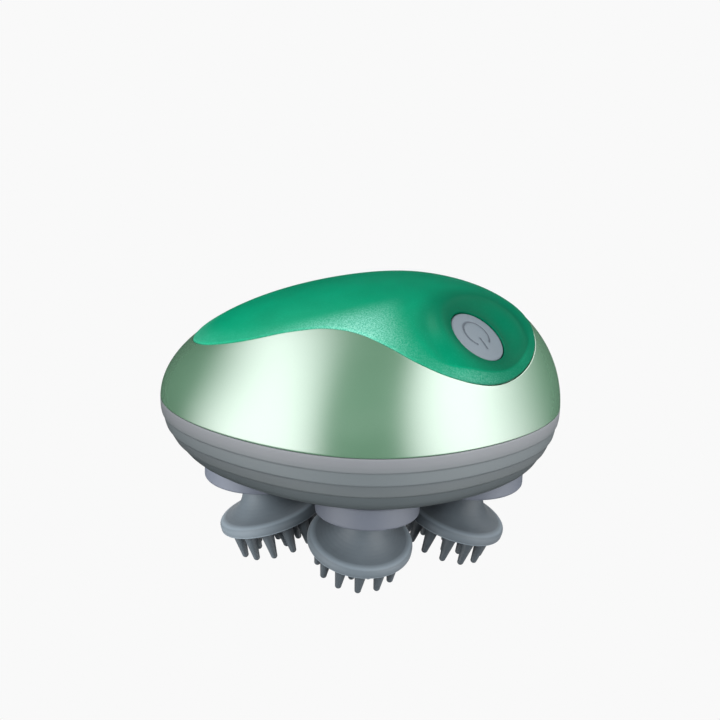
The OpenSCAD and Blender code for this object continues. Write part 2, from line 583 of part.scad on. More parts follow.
module jack_leads() {
  color("#2b2b2b") for (s = [0, 1])
    lead([[axis_x - 1.2, 37.7, 48.6 + 1.6 * s], [-4, 37.4, 49.4 + 1.6 * s], [-12, 37.2, 50.6 + 1.6 * s], [-22, 36, 52 + 1.6 * s],
      [-31, 32.5, 54 + 1.6 * s], [-38, 26, 57 + 1.6 * s], [-44, 18, 61 + 1.6 * s], [-47 - s, 8, 66 + 1.6 * s],
      [-46 - s, 0, 68 + 1.6 * s], [-43 - s, -6, 67.6 + 1.2 * s], [-41 - 1.6 * s, -9, 66], [-41 - 1.6 * s, -9, 64.4]], 0.5);
}

upper_shell();
top_inlay();
power_button();
button_seal();
switch_board();
tact_switch();
switch_stem();
seam_gasket();
lower_hull();
bearing_plate();
motor_can();
motor_gearbox();
motor_shaft();
drive_gear();
pilot_bush();
front_gear();
rear_gear();
left_gear();
right_gear();
front_spindle();
rear_spindle();
left_spindle();
right_spindle();
front_collar();
rear_collar();
left_collar();
right_collar();
front_head_core();
rear_head_core();
left_head_core();
right_head_core();
front_head_pad();
rear_head_pad();
left_head_pad();
right_head_pad();
front_head_screw();
rear_head_screw();
left_head_screw();
right_head_screw();
lower_bushes();
upper_bushes();
shaft_seals();
battery_cell();
battery_cradle();
main_board();
board_plugs();
charge_jack();
case_screws();
motor_screws();
switch_screws();
battery_leads();
motor_leads();
switch_leads();
jack_leads();
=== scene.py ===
"""Electric scalp massager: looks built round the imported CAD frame. Lengths in mm until a mesh is made."""
import json
import math

import bpy
import numpy as np
from mathutils import Matrix, Vector
from mathutils.geometry import delaunay_2d_cdt


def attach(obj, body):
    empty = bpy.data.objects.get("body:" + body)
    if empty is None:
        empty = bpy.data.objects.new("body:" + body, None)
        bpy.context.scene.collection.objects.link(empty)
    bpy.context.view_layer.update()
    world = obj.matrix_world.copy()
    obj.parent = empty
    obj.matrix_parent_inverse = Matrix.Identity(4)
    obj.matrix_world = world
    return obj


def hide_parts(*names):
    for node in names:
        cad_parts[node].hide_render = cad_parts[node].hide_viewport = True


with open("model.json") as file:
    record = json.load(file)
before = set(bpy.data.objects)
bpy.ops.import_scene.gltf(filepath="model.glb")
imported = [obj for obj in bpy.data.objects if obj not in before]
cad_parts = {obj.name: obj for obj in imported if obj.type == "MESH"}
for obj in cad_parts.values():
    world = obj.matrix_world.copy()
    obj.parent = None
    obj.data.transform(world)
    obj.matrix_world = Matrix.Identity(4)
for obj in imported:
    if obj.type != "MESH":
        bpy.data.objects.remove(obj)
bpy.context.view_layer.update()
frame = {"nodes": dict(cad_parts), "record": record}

MM = 0.001
rad = np.radians

# ---------------------------------------------------------------- body surface
SEAM = 56.0
DOME_H = 41.3
INLAY_T = 2.0
RAISE = 0.42
WALL = 2.4
EDGE = [(-180, 27.5), (-168, 30.5), (-161, 34), (-155, 37.5), (-149, 42), (-143, 47.5),
        (-132, 53), (-126, 54), (-118, 54.5), (-108, 53.5), (-98, 51), (-88, 47.5), (-80, 43.5),
        (-72, 39.5), (-65, 35.5), (-58, 32), (-52, 29), (-46, 26.5), (-39, 26), (-31, 28),
        (-23, 31.5), (-11, 38), (-2, 43), (8, 47.5), (16, 51), (30, 54), (50, 54), (70, 51),
        (90, 48), (110, 45), (130, 41), (150, 36), (165, 31), (180, 27.5)]
BTN_C = np.array([36.2, -20.2, 86.4])
BTN_TILT, BTN_AZ = rad(35.4), rad(-29.4)
BTN_N = np.array([math.sin(BTN_TILT) * math.cos(BTN_AZ), math.sin(BTN_TILT) * math.sin(BTN_AZ), math.cos(BTN_TILT)])
BTN_X = np.array([math.cos(BTN_TILT) * math.cos(BTN_AZ), math.cos(BTN_TILT) * math.sin(BTN_AZ), -math.sin(BTN_TILT)])
BTN_Y = np.cross(BTN_N, BTN_X)
BTN_R = 10.0
BORE_R = 10.3


def unit(v):
    return v / np.linalg.norm(v, axis=-1, keepdims=True)


def plan(f):
    f = rad(f)
    return 0.6 + 63 * np.cos(f) - 0.6 * np.cos(2 * f) + 3 * np.cos(3 * f), 51.5 * np.sin(f)


def plan_n(f):
    ax, ay = plan(f + 0.5)
    bx, by = plan(f - 0.5)
    n = np.stack([ay - by, bx - ax], -1)
    return unit(n)


def dome0(f, t):
    px, py = plan(f)
    c, s = np.cos(rad(t)), np.sin(rad(t))
    return np.stack([px * c + 15 * (1 - c) + 4.5 * s ** 2, py * c, SEAM + DOME_H * s], -1)


def dome_n(f, t):
    return unit(np.cross(dome0(f + 0.25, t) - dome0(f - 0.25, t), dome0(f, t + 0.25) - dome0(f, t - 0.25)))


def step01(x):
    u = np.clip(x, 0, 1)
    return u * u * (3 - 2 * u)


def dish(p):
    d = p - BTN_C
    h = d @ BTN_N
    r = np.linalg.norm(d - h[..., None] * BTN_N, axis=-1)
    k = (1 - step01((r - 11) / 7.5)) * (0.1 * np.maximum(0, r - 10.5) - h)
    return np.where((h < -18)[..., None], 0.0, k[..., None] * BTN_N)


def dome(f, t, d):
    p = dome0(f, t)
    d = np.asarray(d, float)
    return p + np.broadcast_to(d, p.shape[:-1])[..., None] * dome_n(f, t) + dish(p)


_ang = np.arange(-360, 720.01, 0.25)
_e = np.interp((_ang + 180) % 360 - 180, [a for a, _ in EDGE], [b for _, b in EDGE])
_k = np.exp(-0.5 * (np.arange(-12, 12.01, 0.25) / 2.9) ** 2)
_es = np.convolve(_e, _k / _k.sum(), "same")


def edge(f):
    return np.interp((np.asarray(f) + 180) % 360 - 180, _ang, _es)


def over(x, y):
    """Point of the plain dome above each (x, y), and its normal."""
    def height(x, y):
        b = y / 51.5
        a = (x - 10) / 55.0
        def g(a):
            c = np.maximum(np.sqrt(a * a + b * b), 1e-9)
            return (0.6 * c + 63 * a - 0.6 * (a * a - b * b) / c + 12 * a ** 3 / c ** 2 - 9 * a
                    + 15 * (1 - c) + 4.5 * (1 - c * c) - x)
        for _ in range(40):
            g0, g1 = g(a), g(a + 1e-5)
            slope = (g1 - g0) / 1e-5
            a = a - np.clip(g0 / np.where(np.abs(slope) < 5, 30.0, slope), -0.2, 0.2)
        c = np.minimum(np.sqrt(a * a + b * b), 0.99999)
        return SEAM + DOME_H * np.sqrt(1 - c * c)
    z = height(x, y)
    e = 0.02
    zx = (height(x + e, y) - height(x - e, y)) / (2 * e)
    zy = (height(x, y + e) - height(x, y - e)) / (2 * e)
    return np.stack([x, y, z], -1), unit(np.stack([-zx, -zy, np.ones_like(zx)], -1))


def angles(p):
    """Plan angle and dome angle of points of the plain dome, in degrees."""
    c = np.sqrt(np.clip(1 - ((p[:, 2] - SEAM) / DOME_H) ** 2, 1e-9, 1))
    b = p[:, 1] / 51.5
    a = np.sqrt(np.maximum(c * c - b * b, 0)) * np.sign(p[:, 0] - 15 * (1 - c) - 4.5 * (1 - c * c))
    return np.degrees(np.arctan2(b, a)), np.degrees(np.arccos(np.clip(c, 0, 1)))


def button_ring(r, n):
    """Base points of the plain dome at distance r from the button axis."""
    a = np.arange(n) / n * 2 * np.pi
    flat = BTN_C + r * (np.cos(a)[:, None] * BTN_X + np.sin(a)[:, None] * BTN_Y)
    h = np.zeros(n)
    for _ in range(25):
        q = flat + h[:, None] * BTN_N
        p, nn = over(q[:, 0], q[:, 1])
        h += (p[:, 2] - q[:, 2]) * nn[:, 2] / (nn @ BTN_N)
    q = flat + h[:, None] * BTN_N
    return over(q[:, 0], q[:, 1])


def near_bore(p, r, n, keep):
    """Moves ring points onto the exact circle of radius r about the button axis."""
    a = np.arange(n) / n * 2 * np.pi
    h = (p - BTN_C) @ BTN_N
    exact = BTN_C + h[:, None] * BTN_N + r * (np.cos(a)[:, None] * BTN_X + np.sin(a)[:, None] * BTN_Y)
    return p + (exact - p) * keep


# ---------------------------------------------------------------- mesh helpers
class Build:
    """Vertices, faces and material numbers of one mesh, in mm."""

    def __init__(self):
        self.v, self.f, self.m, self.w, self.n = [], [], [], [], 0

    def add(self, pts, weight=0.0):
        pts = np.asarray(pts, float)
        start = self.n
        self.v.append(pts)
        self.w.append(np.broadcast_to(np.asarray(weight, float), (len(pts),)))
        self.n += len(pts)
        return start

    def strip(self, a, b, n, mat=0):
        """Quads between closed loops at a and b, facing outwards when b is above a and loops run anticlockwise."""
        i = np.arange(n)
        j = (i + 1) % n
        self.f.append(np.stack([a + i, a + j, b + j, b + i], 1))
        self.m.append(np.full(n, mat))

    def loops(self, rows, mat=0, close=False):
        starts = [self.add(r) for r in rows]
        n = len(rows[0])
        for a, b in zip(starts, starts[1:]):
            self.strip(a, b, n, mat)
        if close:
            self.strip(starts[-1], starts[0], n, mat)
        return starts

    def tris(self, t, mat=0, flip=False):
        t = np.asarray(t)
        if flip:
            t = t[:, ::-1]
        self.f.append(t)
        self.m.append(np.full(len(t), mat))

    def fan(self, start, n, mat=0, flip=False):
        i = list(range(start, start + n))
        self.f.append(np.array([i[::-1] if flip else i]))
        self.m.append(np.array([mat]))

    def object(self, name, mats, sharp=32.0, move=None):
        v = np.concatenate(self.v)
        if move is not None:
            v = v @ move[0].T + move[1]
        v = v * MM
        faces = [f.tolist() for f in self.f]
        flat = [q for g in faces for q in g]
        me = bpy.data.meshes.new(name)
        me.from_pydata(v.tolist(), [], flat)
        me.polygons.foreach_set("material_index", np.concatenate(self.m).astype(np.int32))
        for mat in mats:
            me.materials.append(mat)
        w = np.concatenate(self.w)
        # per-vertex weights: positive for painted highlight, negative for painted shade
        if w.any():
            me.attributes.new("painted_light", "FLOAT", "POINT").data.foreach_set("value", w.astype(np.float32))
        me.update()
        bmerge(me)
        me.shade_smooth()
        me.set_sharp_from_angle(angle=math.radians(sharp))
        ob = bpy.data.objects.new(name, me)
        bpy.context.scene.collection.objects.link(ob)
        return ob


def bmerge(me):
    import bmesh
    bm = bmesh.new()
    bm.from_mesh(me)
    bmesh.ops.remove_doubles(bm, verts=bm.verts, dist=1e-7)
    bm.to_mesh(me)
    bm.free()
    me.update()


def inside(p, loop):
    """True where points lie inside a closed polygon."""
    a, b = loop, np.roll(loop, -1, 0)
    out = np.zeros(len(p), bool)
    for s in range(0, len(p), 4000):
        q = p[s:s + 4000, None]
        up = (a[:, 1] > q[..., 1]) != (b[:, 1] > q[..., 1])
        dy = np.where(b[:, 1] == a[:, 1], 1.0, b[:, 1] - a[:, 1])
        x = a[:, 0] + (q[..., 1] - a[:, 1]) / dy * (b[:, 0] - a[:, 0])
        out[s:s + 4000] = (np.sum(up & (q[..., 0] < x), 1) % 2) == 1
    return out


def away(p, q, d):
    """True where points of p are at least d from all of q."""
    keep = np.ones(len(p), bool)
    for s in range(0, len(p), 3000):
        dd = ((p[s:s + 3000, None] - q[None]) ** 2).sum(-1)
        keep[s:s + 3000] = dd.min(1) >= d * d
    return keep


def hexgrid(lo, hi, s):
    ys = np.arange(lo[1], hi[1], s * 0.866)
    rows = []
    for k, y in enumerate(ys):
        xs = np.arange(lo[0] + (0.5 * s if k % 2 else 0), hi[0], s)
        rows.append(np.stack([xs, np.full(len(xs), y)], 1))
    return np.concatenate(rows)


def fill(loops, extra):
    """Triangles over the region inside loops[0] and outside the others. Indices run over the loops' points, then extra."""
    pts = np.vstack(list(loops) + ([extra] if len(extra) else []))
    edges, off = [], 0
    for loop in loops:
        n = len(loop)
        edges += [(off + i, off + (i + 1) % n) for i in range(n)]
        off += n
    out = delaunay_2d_cdt([Vector(p) for p in pts.tolist()], edges, [], 0, 1e-9)
    back = [o[0] if len(o) else -1 for o in out[3]]
    tri = np.array([[back[i] for i in f] for f in out[2]])
    tri = tri[(tri >= 0).all(1)]
    cen = pts[tri].mean(1)
    ok = inside(cen, loops[0])
    for loop in loops[1:]:
        ok &= ~inside(cen, loop)
    tri = tri[ok]
    a, b, c = pts[tri[:, 0]], pts[tri[:, 1]], pts[tri[:, 2]]
    turn = (b[:, 0] - a[:, 0]) * (c[:, 1] - a[:, 1]) - (b[:, 1] - a[:, 1]) * (c[:, 0] - a[:, 0])
    tri = tri[np.abs(turn) > 1e-12]
    turn = turn[np.abs(turn) > 1e-12]
    tri[turn < 0] = tri[turn < 0][:, ::-1]
    return tri


def circle(r, n, cx=0.0, cy=0.0):
    a = np.arange(n) / n * 2 * np.pi
    return np.stack([cx + r * np.cos(a), cy + r * np.sin(a)], 1)


def at_z(loop, z):
    return np.concatenate([loop, np.full((len(loop), 1), z)], 1)


def smooth_line(pts, step=0.1, blur=0.25):
    """Resamples a polyline evenly and rounds its corners, its two ends kept."""
    p = np.array(pts, float)
    d = np.r_[0, np.cumsum(np.linalg.norm(np.diff(p, axis=0), axis=1))]
    n = max(8, int(d[-1] / step))
    s = np.linspace(0, d[-1], n)
    q = np.stack([np.interp(s, d, p[:, k]) for k in range(2)], 1)
    w = int(3 * blur / (d[-1] / (n - 1))) + 1
    k = np.exp(-0.5 * (np.arange(-w, w + 1) * d[-1] / (n - 1) / blur) ** 2)
    k /= k.sum()
    ext = np.vstack([2 * q[0] - q[w:0:-1], q, 2 * q[-1] - q[-2:-w - 2:-1]])
    return np.stack([np.convolve(ext[:, i], k, "valid") for i in range(2)], 1)


# ---------------------------------------------------------------- materials
class Nodes:
    def __init__(self, name):
        self.mat = bpy.data.materials.new(name)
        self.mat.use_nodes = True
        self.t = self.mat.node_tree
        self.p = next(n for n in self.t.nodes if n.type == "BSDF_PRINCIPLED")
        self.coord = self.t.nodes.new("ShaderNodeTexCoord").outputs["Object"]

    def node(self, kind, **values):
        n = self.t.nodes.new(kind)
        for k, v in values.items():
            if k in n.inputs.keys() and not hasattr(n, k):
                n.inputs[k].default_value = v
            else:
                setattr(n, k, v)
        return n

    def link(self, a, b):
        self.t.links.new(a, b)

    def noise(self, size_mm, detail=2.0, rough=0.5, stretch=None, seed=0.0):
        n = self.t.nodes.new("ShaderNodeTexNoise")
        n.inputs["Scale"].default_value = 1.0 / (size_mm * MM)
        n.inputs["Detail"].default_value = detail
        n.inputs["Roughness"].default_value = rough
        src = self.coord
        if stretch or seed:
            m = self.t.nodes.new("ShaderNodeMapping")
            m.inputs["Scale"].default_value = stretch or (1, 1, 1)
            m.inputs["Location"].default_value = (seed, seed * 0.7, seed * 0.3)
            self.link(src, m.inputs["Vector"])
            src = m.outputs["Vector"]
        self.link(src, n.inputs["Vector"])
        return n.outputs["Fac"]

    def ramp(self, fac, stops):
        r = self.t.nodes.new("ShaderNodeValToRGB")
        e = r.color_ramp.elements
        while len(e) < len(stops):
            e.new(0.5)
        for el, (pos, col) in zip(e, stops):
            el.position = pos
            el.color = (*col, 1.0) if not np.isscalar(col) else (col, col, col, 1.0)
        self.link(fac, r.inputs["Fac"])
        return r.outputs["Color"]

    def range(self, fac, lo, hi, a=0.3, b=0.7):
        m = self.t.nodes.new("ShaderNodeMapRange")
        m.inputs["From Min"].default_value = a
        m.inputs["From Max"].default_value = b
        m.inputs["To Min"].default_value = lo
        m.inputs["To Max"].default_value = hi
        self.link(fac, m.inputs["Value"])
        return m.outputs["Result"]

    def mix(self, fac, a, b, mode="MIX"):
        m = self.t.nodes.new("ShaderNodeMix")
        m.data_type = "RGBA"
        m.blend_type = mode
        for v, key in ((fac, 0), (a, 6), (b, 7)):
            if hasattr(v, "links"):
                self.link(v, m.inputs[key])
            else:
                m.inputs[key].default_value = v if np.isscalar(v) else (*v, 1.0)
        return m.outputs[2]

    def math(self, op, a, b=0.0):
        m = self.t.nodes.new("ShaderNodeMath")
        m.operation = op
        for i, v in enumerate((a, b)):
            if hasattr(v, "links"):
                self.link(v, m.inputs[i])
            else:
                m.inputs[i].default_value = v
        return m.outputs[0]

    def bump(self, height, depth_mm, strength=1.0, under=None):
        b = self.t.nodes.new("ShaderNodeBump")
        b.inputs["Strength"].default_value = strength
        b.inputs["Distance"].default_value = depth_mm * MM
        self.link(height, b.inputs["Height"])
        if under is not None:
            self.link(under, b.inputs["Normal"])
        return b.outputs["Normal"]

    def set(self, **values):
        for k, v in values.items():
            s = self.p.inputs[k.replace("_", " ")]
            if hasattr(v, "links"):
                self.link(v, s)
            else:
                s.default_value = v if np.isscalar(v) else (*v, 1.0)
        return self.mat


def srgb(r, g, b):
    def lin(c):
        c /= 255.0
        return c / 12.92 if c <= 0.04045 else ((c + 0.055) / 1.055) ** 2.4
    return lin(r), lin(g), lin(b)


def plastic(name, col, rough=0.45, vary=0.06, grain=0.25, depth=0.008, metallic=0.0, ior=1.46, coat=0.0):
    """Moulded or machined surface: cloudy colour and gloss, and a fine grain."""
    m = Nodes(name)
    big = m.noise(9, 3)
    fine = m.noise(grain, 2, seed=3.1)
    dark = tuple(c * (1 - vary) for c in col)
    light = tuple(min(1.0, c * (1 + vary)) for c in col)
    c = m.ramp(m.math("ADD", m.math("MULTIPLY", big, 0.7), m.math("MULTIPLY", fine, 0.3)), [(0.32, dark), (0.68, light)])
    m.set(Base_Color=c, Roughness=m.range(fine, rough - 0.05, rough + 0.06), Metallic=metallic, IOR=ior,
          Coat_Weight=coat, Normal=m.bump(fine, depth))
    return m.mat


def mint_material():
    m = Nodes("mint_lacquer")
    cloud = m.noise(16, 2)
    flake = m.noise(0.22, 1, seed=1.7)
    c = m.ramp(m.math("ADD", m.math("MULTIPLY", cloud, 0.5), m.math("MULTIPLY", flake, 0.5)),
               [(0.30, (0.088, 0.184, 0.114)), (0.70, (0.100, 0.202, 0.128))])
    m.set(Base_Color=c, Metallic=0.0, IOR=3.0, Specular_Tint=(0.95, 1.0, 0.965), Roughness=m.range(flake, 0.20, 0.26),
          Normal=m.bump(m.noise(0.5, 2, seed=5), 0.0006))
    return m.mat


def hull_material():
    """Grey underside, with painted shade that deepens from band to band towards the bottom."""
    m = Nodes("hull_grey_plastic")
    big = m.noise(9, 3)
    fine = m.noise(0.3, 2, seed=3.1)
    sep = m.t.nodes.new("ShaderNodeSeparateXYZ")
    m.link(m.coord, sep.inputs[0])
    # bands meet at z 41.9, 46.2 and 50.8 mm
    # painted shade: this ramp over height darkens each lower band, standing in for the dimmer light that reaches them
    painted_shade_tone = m.ramp(m.range(sep.outputs["Z"], 0, 1, 0.0355, 0.0560),
                  [(0.0, srgb(70, 77, 79)), (0.29, srgb(72, 79, 82)), (0.325, srgb(86, 92, 94)), (0.50, srgb(82, 88, 91)), (0.535, srgb(92, 99, 102)),
                   (0.725, srgb(91, 98, 101)), (0.76, srgb(103, 108, 111)), (0.88, srgb(109, 112, 116)), (1.0, srgb(115, 118, 122))])
    shade = m.range(m.math("ADD", m.math("MULTIPLY", big, 0.6), m.math("MULTIPLY", fine, 0.4)), 0.97, 1.03)
    grey = m.t.nodes.new("ShaderNodeCombineXYZ")
    for k in range(3):
        m.link(shade, grey.inputs[k])
    c = m.mix(1.0, painted_shade_tone, grey.outputs[0], "MULTIPLY")
    m.set(Base_Color=c, Roughness=m.range(fine, 0.46, 0.57), IOR=1.46, Normal=m.bump(fine, 0.006))
    return m.mat


def inlay_material():
    """Deep green with pearly grain, a painted highlight along the border and painted shade round the button, both
    driven by a per-vertex attribute.
    """
    m = Nodes("pearl_green")
    cloud = m.noise(12, 2)
    grain = m.noise(0.45, 2, 0.6, seed=2.3)
    fine = m.noise(0.2, 1, seed=7.3)
    painted_light_attr = m.t.nodes.new("ShaderNodeAttribute")
    painted_light_attr.attribute_name = "painted_light"
    base = m.ramp(cloud, [(0.3, (0.000, 0.114, 0.057)), (0.7, (0.000, 0.130, 0.066))])
    base = m.mix(m.range(grain, 0.0, 0.25, 0.5, 0.75), base, (0.012, 0.20, 0.13))
    light = m.mix(m.range(grain, 0.0, 1.0, 0.35, 0.65), (0.020, 0.162, 0.108), (0.112, 0.290, 0.228))
    # painted highlight: lighter pearly colour where the per-vertex attribute is positive, along the border and
    # strongest at the front-left
    c = m.mix(m.math("POWER", m.math("MAXIMUM", painted_light_attr.outputs["Fac"], 0.0), 1.5), base, light)
    # painted shade: darker green where the per-vertex attribute is negative, round the button
    c = m.mix(m.math("MAXIMUM", m.math("MULTIPLY", painted_light_attr.outputs["Fac"], -1.0), 0.0), c, (0.000, 0.040, 0.020))
    m.set(Base_Color=c, Metallic=0.0, IOR=1.36, Specular_IOR_Level=0.06, Roughness=m.range(grain, 0.36, 0.48),
          Normal=m.bump(grain, 0.018, 0.6, m.bump(fine, 0.008, 0.5)))
    return m.mat


def silicone(name, col, rough=0.5):
    m = Nodes(name)
    cloud = m.noise(6, 3)
    fine = m.noise(0.35, 3, seed=4.4)
    dark = tuple(c * 0.93 for c in col)
    light = tuple(c * 1.08 for c in col)
    c = m.ramp(m.math("ADD", m.math("MULTIPLY", cloud, 0.6), m.math("MULTIPLY", fine, 0.4)), [(0.33, dark), (0.67, light)])
    rim = m.t.nodes.new("ShaderNodeAttribute")
    rim.attribute_name = "painted_light"
    # painted highlight where the per-vertex attribute is positive (the rim's crest and lower edge), painted shade
    # where it is negative (the tines)
    c = m.mix(m.math("MULTIPLY", m.math("MAXIMUM", rim.outputs["Fac"], 0.0), 0.75), c, tuple(x * 2.5 for x in col))
    c = m.mix(m.math("MAXIMUM", m.math("MULTIPLY", rim.outputs["Fac"], -1.0), 0.0), c, tuple(x * 0.4 for x in col))
    m.set(Base_Color=c, Roughness=m.range(fine, rough - 0.05, rough + 0.06), IOR=1.42,
          Sheen_Weight=0.15, Normal=m.bump(fine, 0.01, 0.5))
    m.p.inputs["Sheen Roughness"].default_value = 0.4
    return m.mat


def metal(name, col, rough=0.3, brushed=(1, 1, 12)):
    m = Nodes(name)
    brush = m.noise(1.6, 3, 0.6, stretch=brushed, seed=1.0)
    cloud = m.noise(5, 2)
    c = m.mix(m.range(cloud, 0, 0.4), col, tuple(x * 0.86 for x in col))
    m.set(Base_Color=c, Metallic=1.0, Roughness=m.range(brush, rough - 0.07, rough + 0.1),
          Normal=m.bump(brush, 0.004, 0.4))
    return m.mat


M = {
    "mint_shell": mint_material(),
    "green_inlay": inlay_material(),
    "grey_button": plastic("grey_button_plastic", srgb(97, 107, 115), 0.5, 0.03, 0.3, 0.004),
    "button_mark": plastic("button_mark_grey", srgb(76, 84, 92), 0.6, 0.04, 0.25, 0.003),
    "seal_rubber": plastic("seal_rubber_dark", (0.03, 0.032, 0.034), 0.6, 0.1, 0.3),
    "board_green": plastic("board_lacquer", (0.02, 0.14, 0.06), 0.3, 0.12, 0.5, 0.006),
    "black_plastic": plastic("black_nylon", (0.022, 0.023, 0.025), 0.5, 0.12, 0.2),
    "light_plastic": plastic("ivory_nylon", (0.62, 0.61, 0.57), 0.42, 0.05, 0.3),
    "hull_grey": hull_material(),
    "frame_plastic": plastic("frame_nylon", (0.50, 0.48, 0.42), 0.5, 0.06, 0.35),
    "motor_steel": metal("motor_plated_steel", (0.55, 0.56, 0.57), 0.34),
    "shaft_steel": metal("ground_steel", (0.66, 0.67, 0.68), 0.2, (1, 1, 30)),
    "gear_plastic": plastic("gear_acetal", (0.74, 0.71, 0.60), 0.4, 0.05, 0.4),
    "bush_brass": metal("sintered_brass", (0.62, 0.42, 0.17), 0.36, (1, 1, 1)),
    "collar_grey": plastic("collar_plastic", srgb(87, 92, 102), 0.5, 0.03, 0.3, 0.006),
    "core_plastic": plastic("core_nylon", (0.05, 0.056, 0.065), 0.5, 0.1, 0.3),
    "head_silicone": silicone("head_silicone_grey", srgb(77, 85, 91), 0.5),
    "screw_steel": metal("zinc_screw", (0.42, 0.43, 0.45), 0.33, (1, 1, 1)),
    "cell_wrap": plastic("cell_shrink_wrap", (0.03, 0.14, 0.36), 0.28, 0.06, 0.6, 0.01, coat=0.3),
    "red_lead": plastic("red_lead_pvc", (0.42, 0.02, 0.012), 0.42, 0.08, 0.3),
    "black_lead": plastic("black_lead_pvc", (0.016, 0.016, 0.017), 0.42, 0.1, 0.3),
    "white_lead": plastic("white_lead_pvc", (0.66, 0.66, 0.65), 0.42, 0.05, 0.3),
}
SLOT = {s["node"]: s["material_slot"] for s in frame["record"]["subparts"]}

# carried-over CAD nodes take the procedural material of their slot
for node_name, ob in frame["nodes"].items():
    mat = M[SLOT[node_name]]
    if not ob.material_slots:
        ob.data.materials.append(mat)
    for s in ob.material_slots:
        s.material = mat

# ---------------------------------------------------------------- dome shell and inlay
NB = 720
F = np.arange(NB) * 360.0 / NB
E = edge(F)


def bump_at(f, centre, half):
    d = (np.asarray(f) - centre + 180) % 360 - 180
    return step01(1 - np.abs(d) / half)


GAP = 0.16 + 0.42 * bump_at(F, -16, 48)      # gap round the inlay, in degrees of dome angle
LIP = 0.18 + 0.42 * bump_at(F, -10, 46)      # width of the shell's rounded lip there
LIP_ROWS = [5.4, 4.2, 3.2, 2.4, 1.8, 1.35, 1.05]   # dome angles inside the edge, inner rows first
INNER = 5.4


def xy_at(delta):
    return dome0(F, E + delta)[:, :2]


NR = 240
RINGS = [11.6, 11.2, 10.95, 10.8, 10.7, 10.6]


def ring_point(r, d, keep=1.0):
    p, n = button_ring(r, NR)
    q = p + d * n + dish(p)
    return near_bore(q, r, NR, keep)


outer_xy = xy_at(INNER)
p_in, n_in = button_ring(RINGS[0], NR)
inner_xy = p_in[:, :2]
grid = hexgrid(outer_xy.min(0), outer_xy.max(0), 0.85)
grid = grid[inside(grid, outer_xy) & ~inside(grid, inner_xy)]
grid = grid[away(grid, outer_xy, 0.5) & away(grid, inner_xy, 0.5)]
TRI = fill([outer_xy, inner_xy], grid)
mid_xy = np.vstack([outer_xy, inner_xy, grid])
MID_P, MID_N = over(mid_xy[:, 0], mid_xy[:, 1])
MID_D = dish(MID_P)

# ---- inlay
b = Build()
mid = MID_P + RAISE * MID_N + MID_D
mid[NB:NB + NR] = near_bore(mid[NB:NB + NR], RINGS[0], NR, 0.0)
mid_f, mid_t = angles(MID_P)


def painted_light(f, d):
    """Strength of the painted highlight (a lighter pearly colour) at plan angle f, d degrees of dome angle inside the
    inlay's border; strongest towards the front-left.
    """
    k = 0.14 + 0.86 * bump_at(f, -112, 48) + 0.30 * bump_at(f, 170, 44) + 0.42 * bump_at(f, -54, 24)
    return np.minimum(k, 1) * (1 - step01((np.asarray(d) - 0.5) / (11 + 15 * bump_at(f, -106, 42))))


def painted_dish_shade(p):
    """Painted shade: deeper green round the button in the dish, most on the side away from the front."""
    v = p - BTN_C
    v = v - (v @ BTN_N)[:, None] * BTN_N
    r = np.linalg.norm(v, axis=1)
    side = 0.5 + 0.5 * (v @ np.array([0.62, 0.78, 0.0])) / r
    return (1 - step01((r - 15.5) / 7.5)) * (0.42 + 0.24 * side)


# painted shade round the button, taken off the inlay's painted highlight weight below
mid_painted_shade = painted_dish_shade(MID_P)
start = b.add(mid, painted_light(mid_f, mid_t - edge(mid_f)) * (1 - mid_painted_shade) - mid_painted_shade)
b.tris(TRI + start)
rows = [dome(F, E + d, RAISE) for d in LIP_ROWS[1:]]
arc = rad(np.linspace(90, 0, 10))
W, H0 = 1.0, -0.2                            # width in degrees and foot of the rounded shoulder
rows += [dome(F, E + W * (1 - math.cos(q)), H0 + (RAISE - H0) * math.sin(q)) for q in arc]
rows += [dome(F, E, -1.1), dome(F, E, -INLAY_T)]
# the lip rows carry the painted highlight weight of the border
shine = [painted_light(F, d) for d in LIP_ROWS[1:]] + [painted_light(F, 0.5)] * (len(rows) - len(LIP_ROWS) + 1)
starts = [start] + [b.add(r, w) for r, w in zip(rows, shine)]
for k in range(len(starts) - 1):
    b.strip(starts[k + 1], starts[k], NB)
low = MID_P - INLAY_T * MID_N + MID_D
low_start = b.add(low)
b.tris(TRI + low_start, flip=True)
b.strip(low_start, starts[-1], NB)
# rounded rim of the button hole
fr = 0.34
prev = start + NB
for r in RINGS[1:] + [10.52, 10.44, 10.38, 10.33, BORE_R]:
    drop = 0.0
    if r < BORE_R + fr:
        drop = fr - math.sqrt(max(0.0, fr * fr - (BORE_R + fr - r) ** 2))
    p, n = button_ring(r, NR)
    q = p + RAISE * n + dish(p) - drop * BTN_N
    q = near_bore(q, r, NR, step01((11.6 - r) / 0.8))
    # the hole's rounded rim carries painted shade as a negative weight
    cur = b.add(q, -painted_dish_shade(p))
    b.strip(prev, cur, NR)
    prev = cur
for r, d in ((BORE_R, -INLAY_T), (10.8, -INLAY_T)):
    p, n = button_ring(r, NR)
    cur = b.add(near_bore(p + d * n + dish(p), r, NR, step01((11.6 - r) / 0.8)))
    b.strip(prev, cur, NR)
    prev = cur
b.strip(prev, low_start + NB, NR)
inlay = b.object("top_inlay_skin", [M["green_inlay"]], 40)
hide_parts("top_inlay")
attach(inlay, "housing")

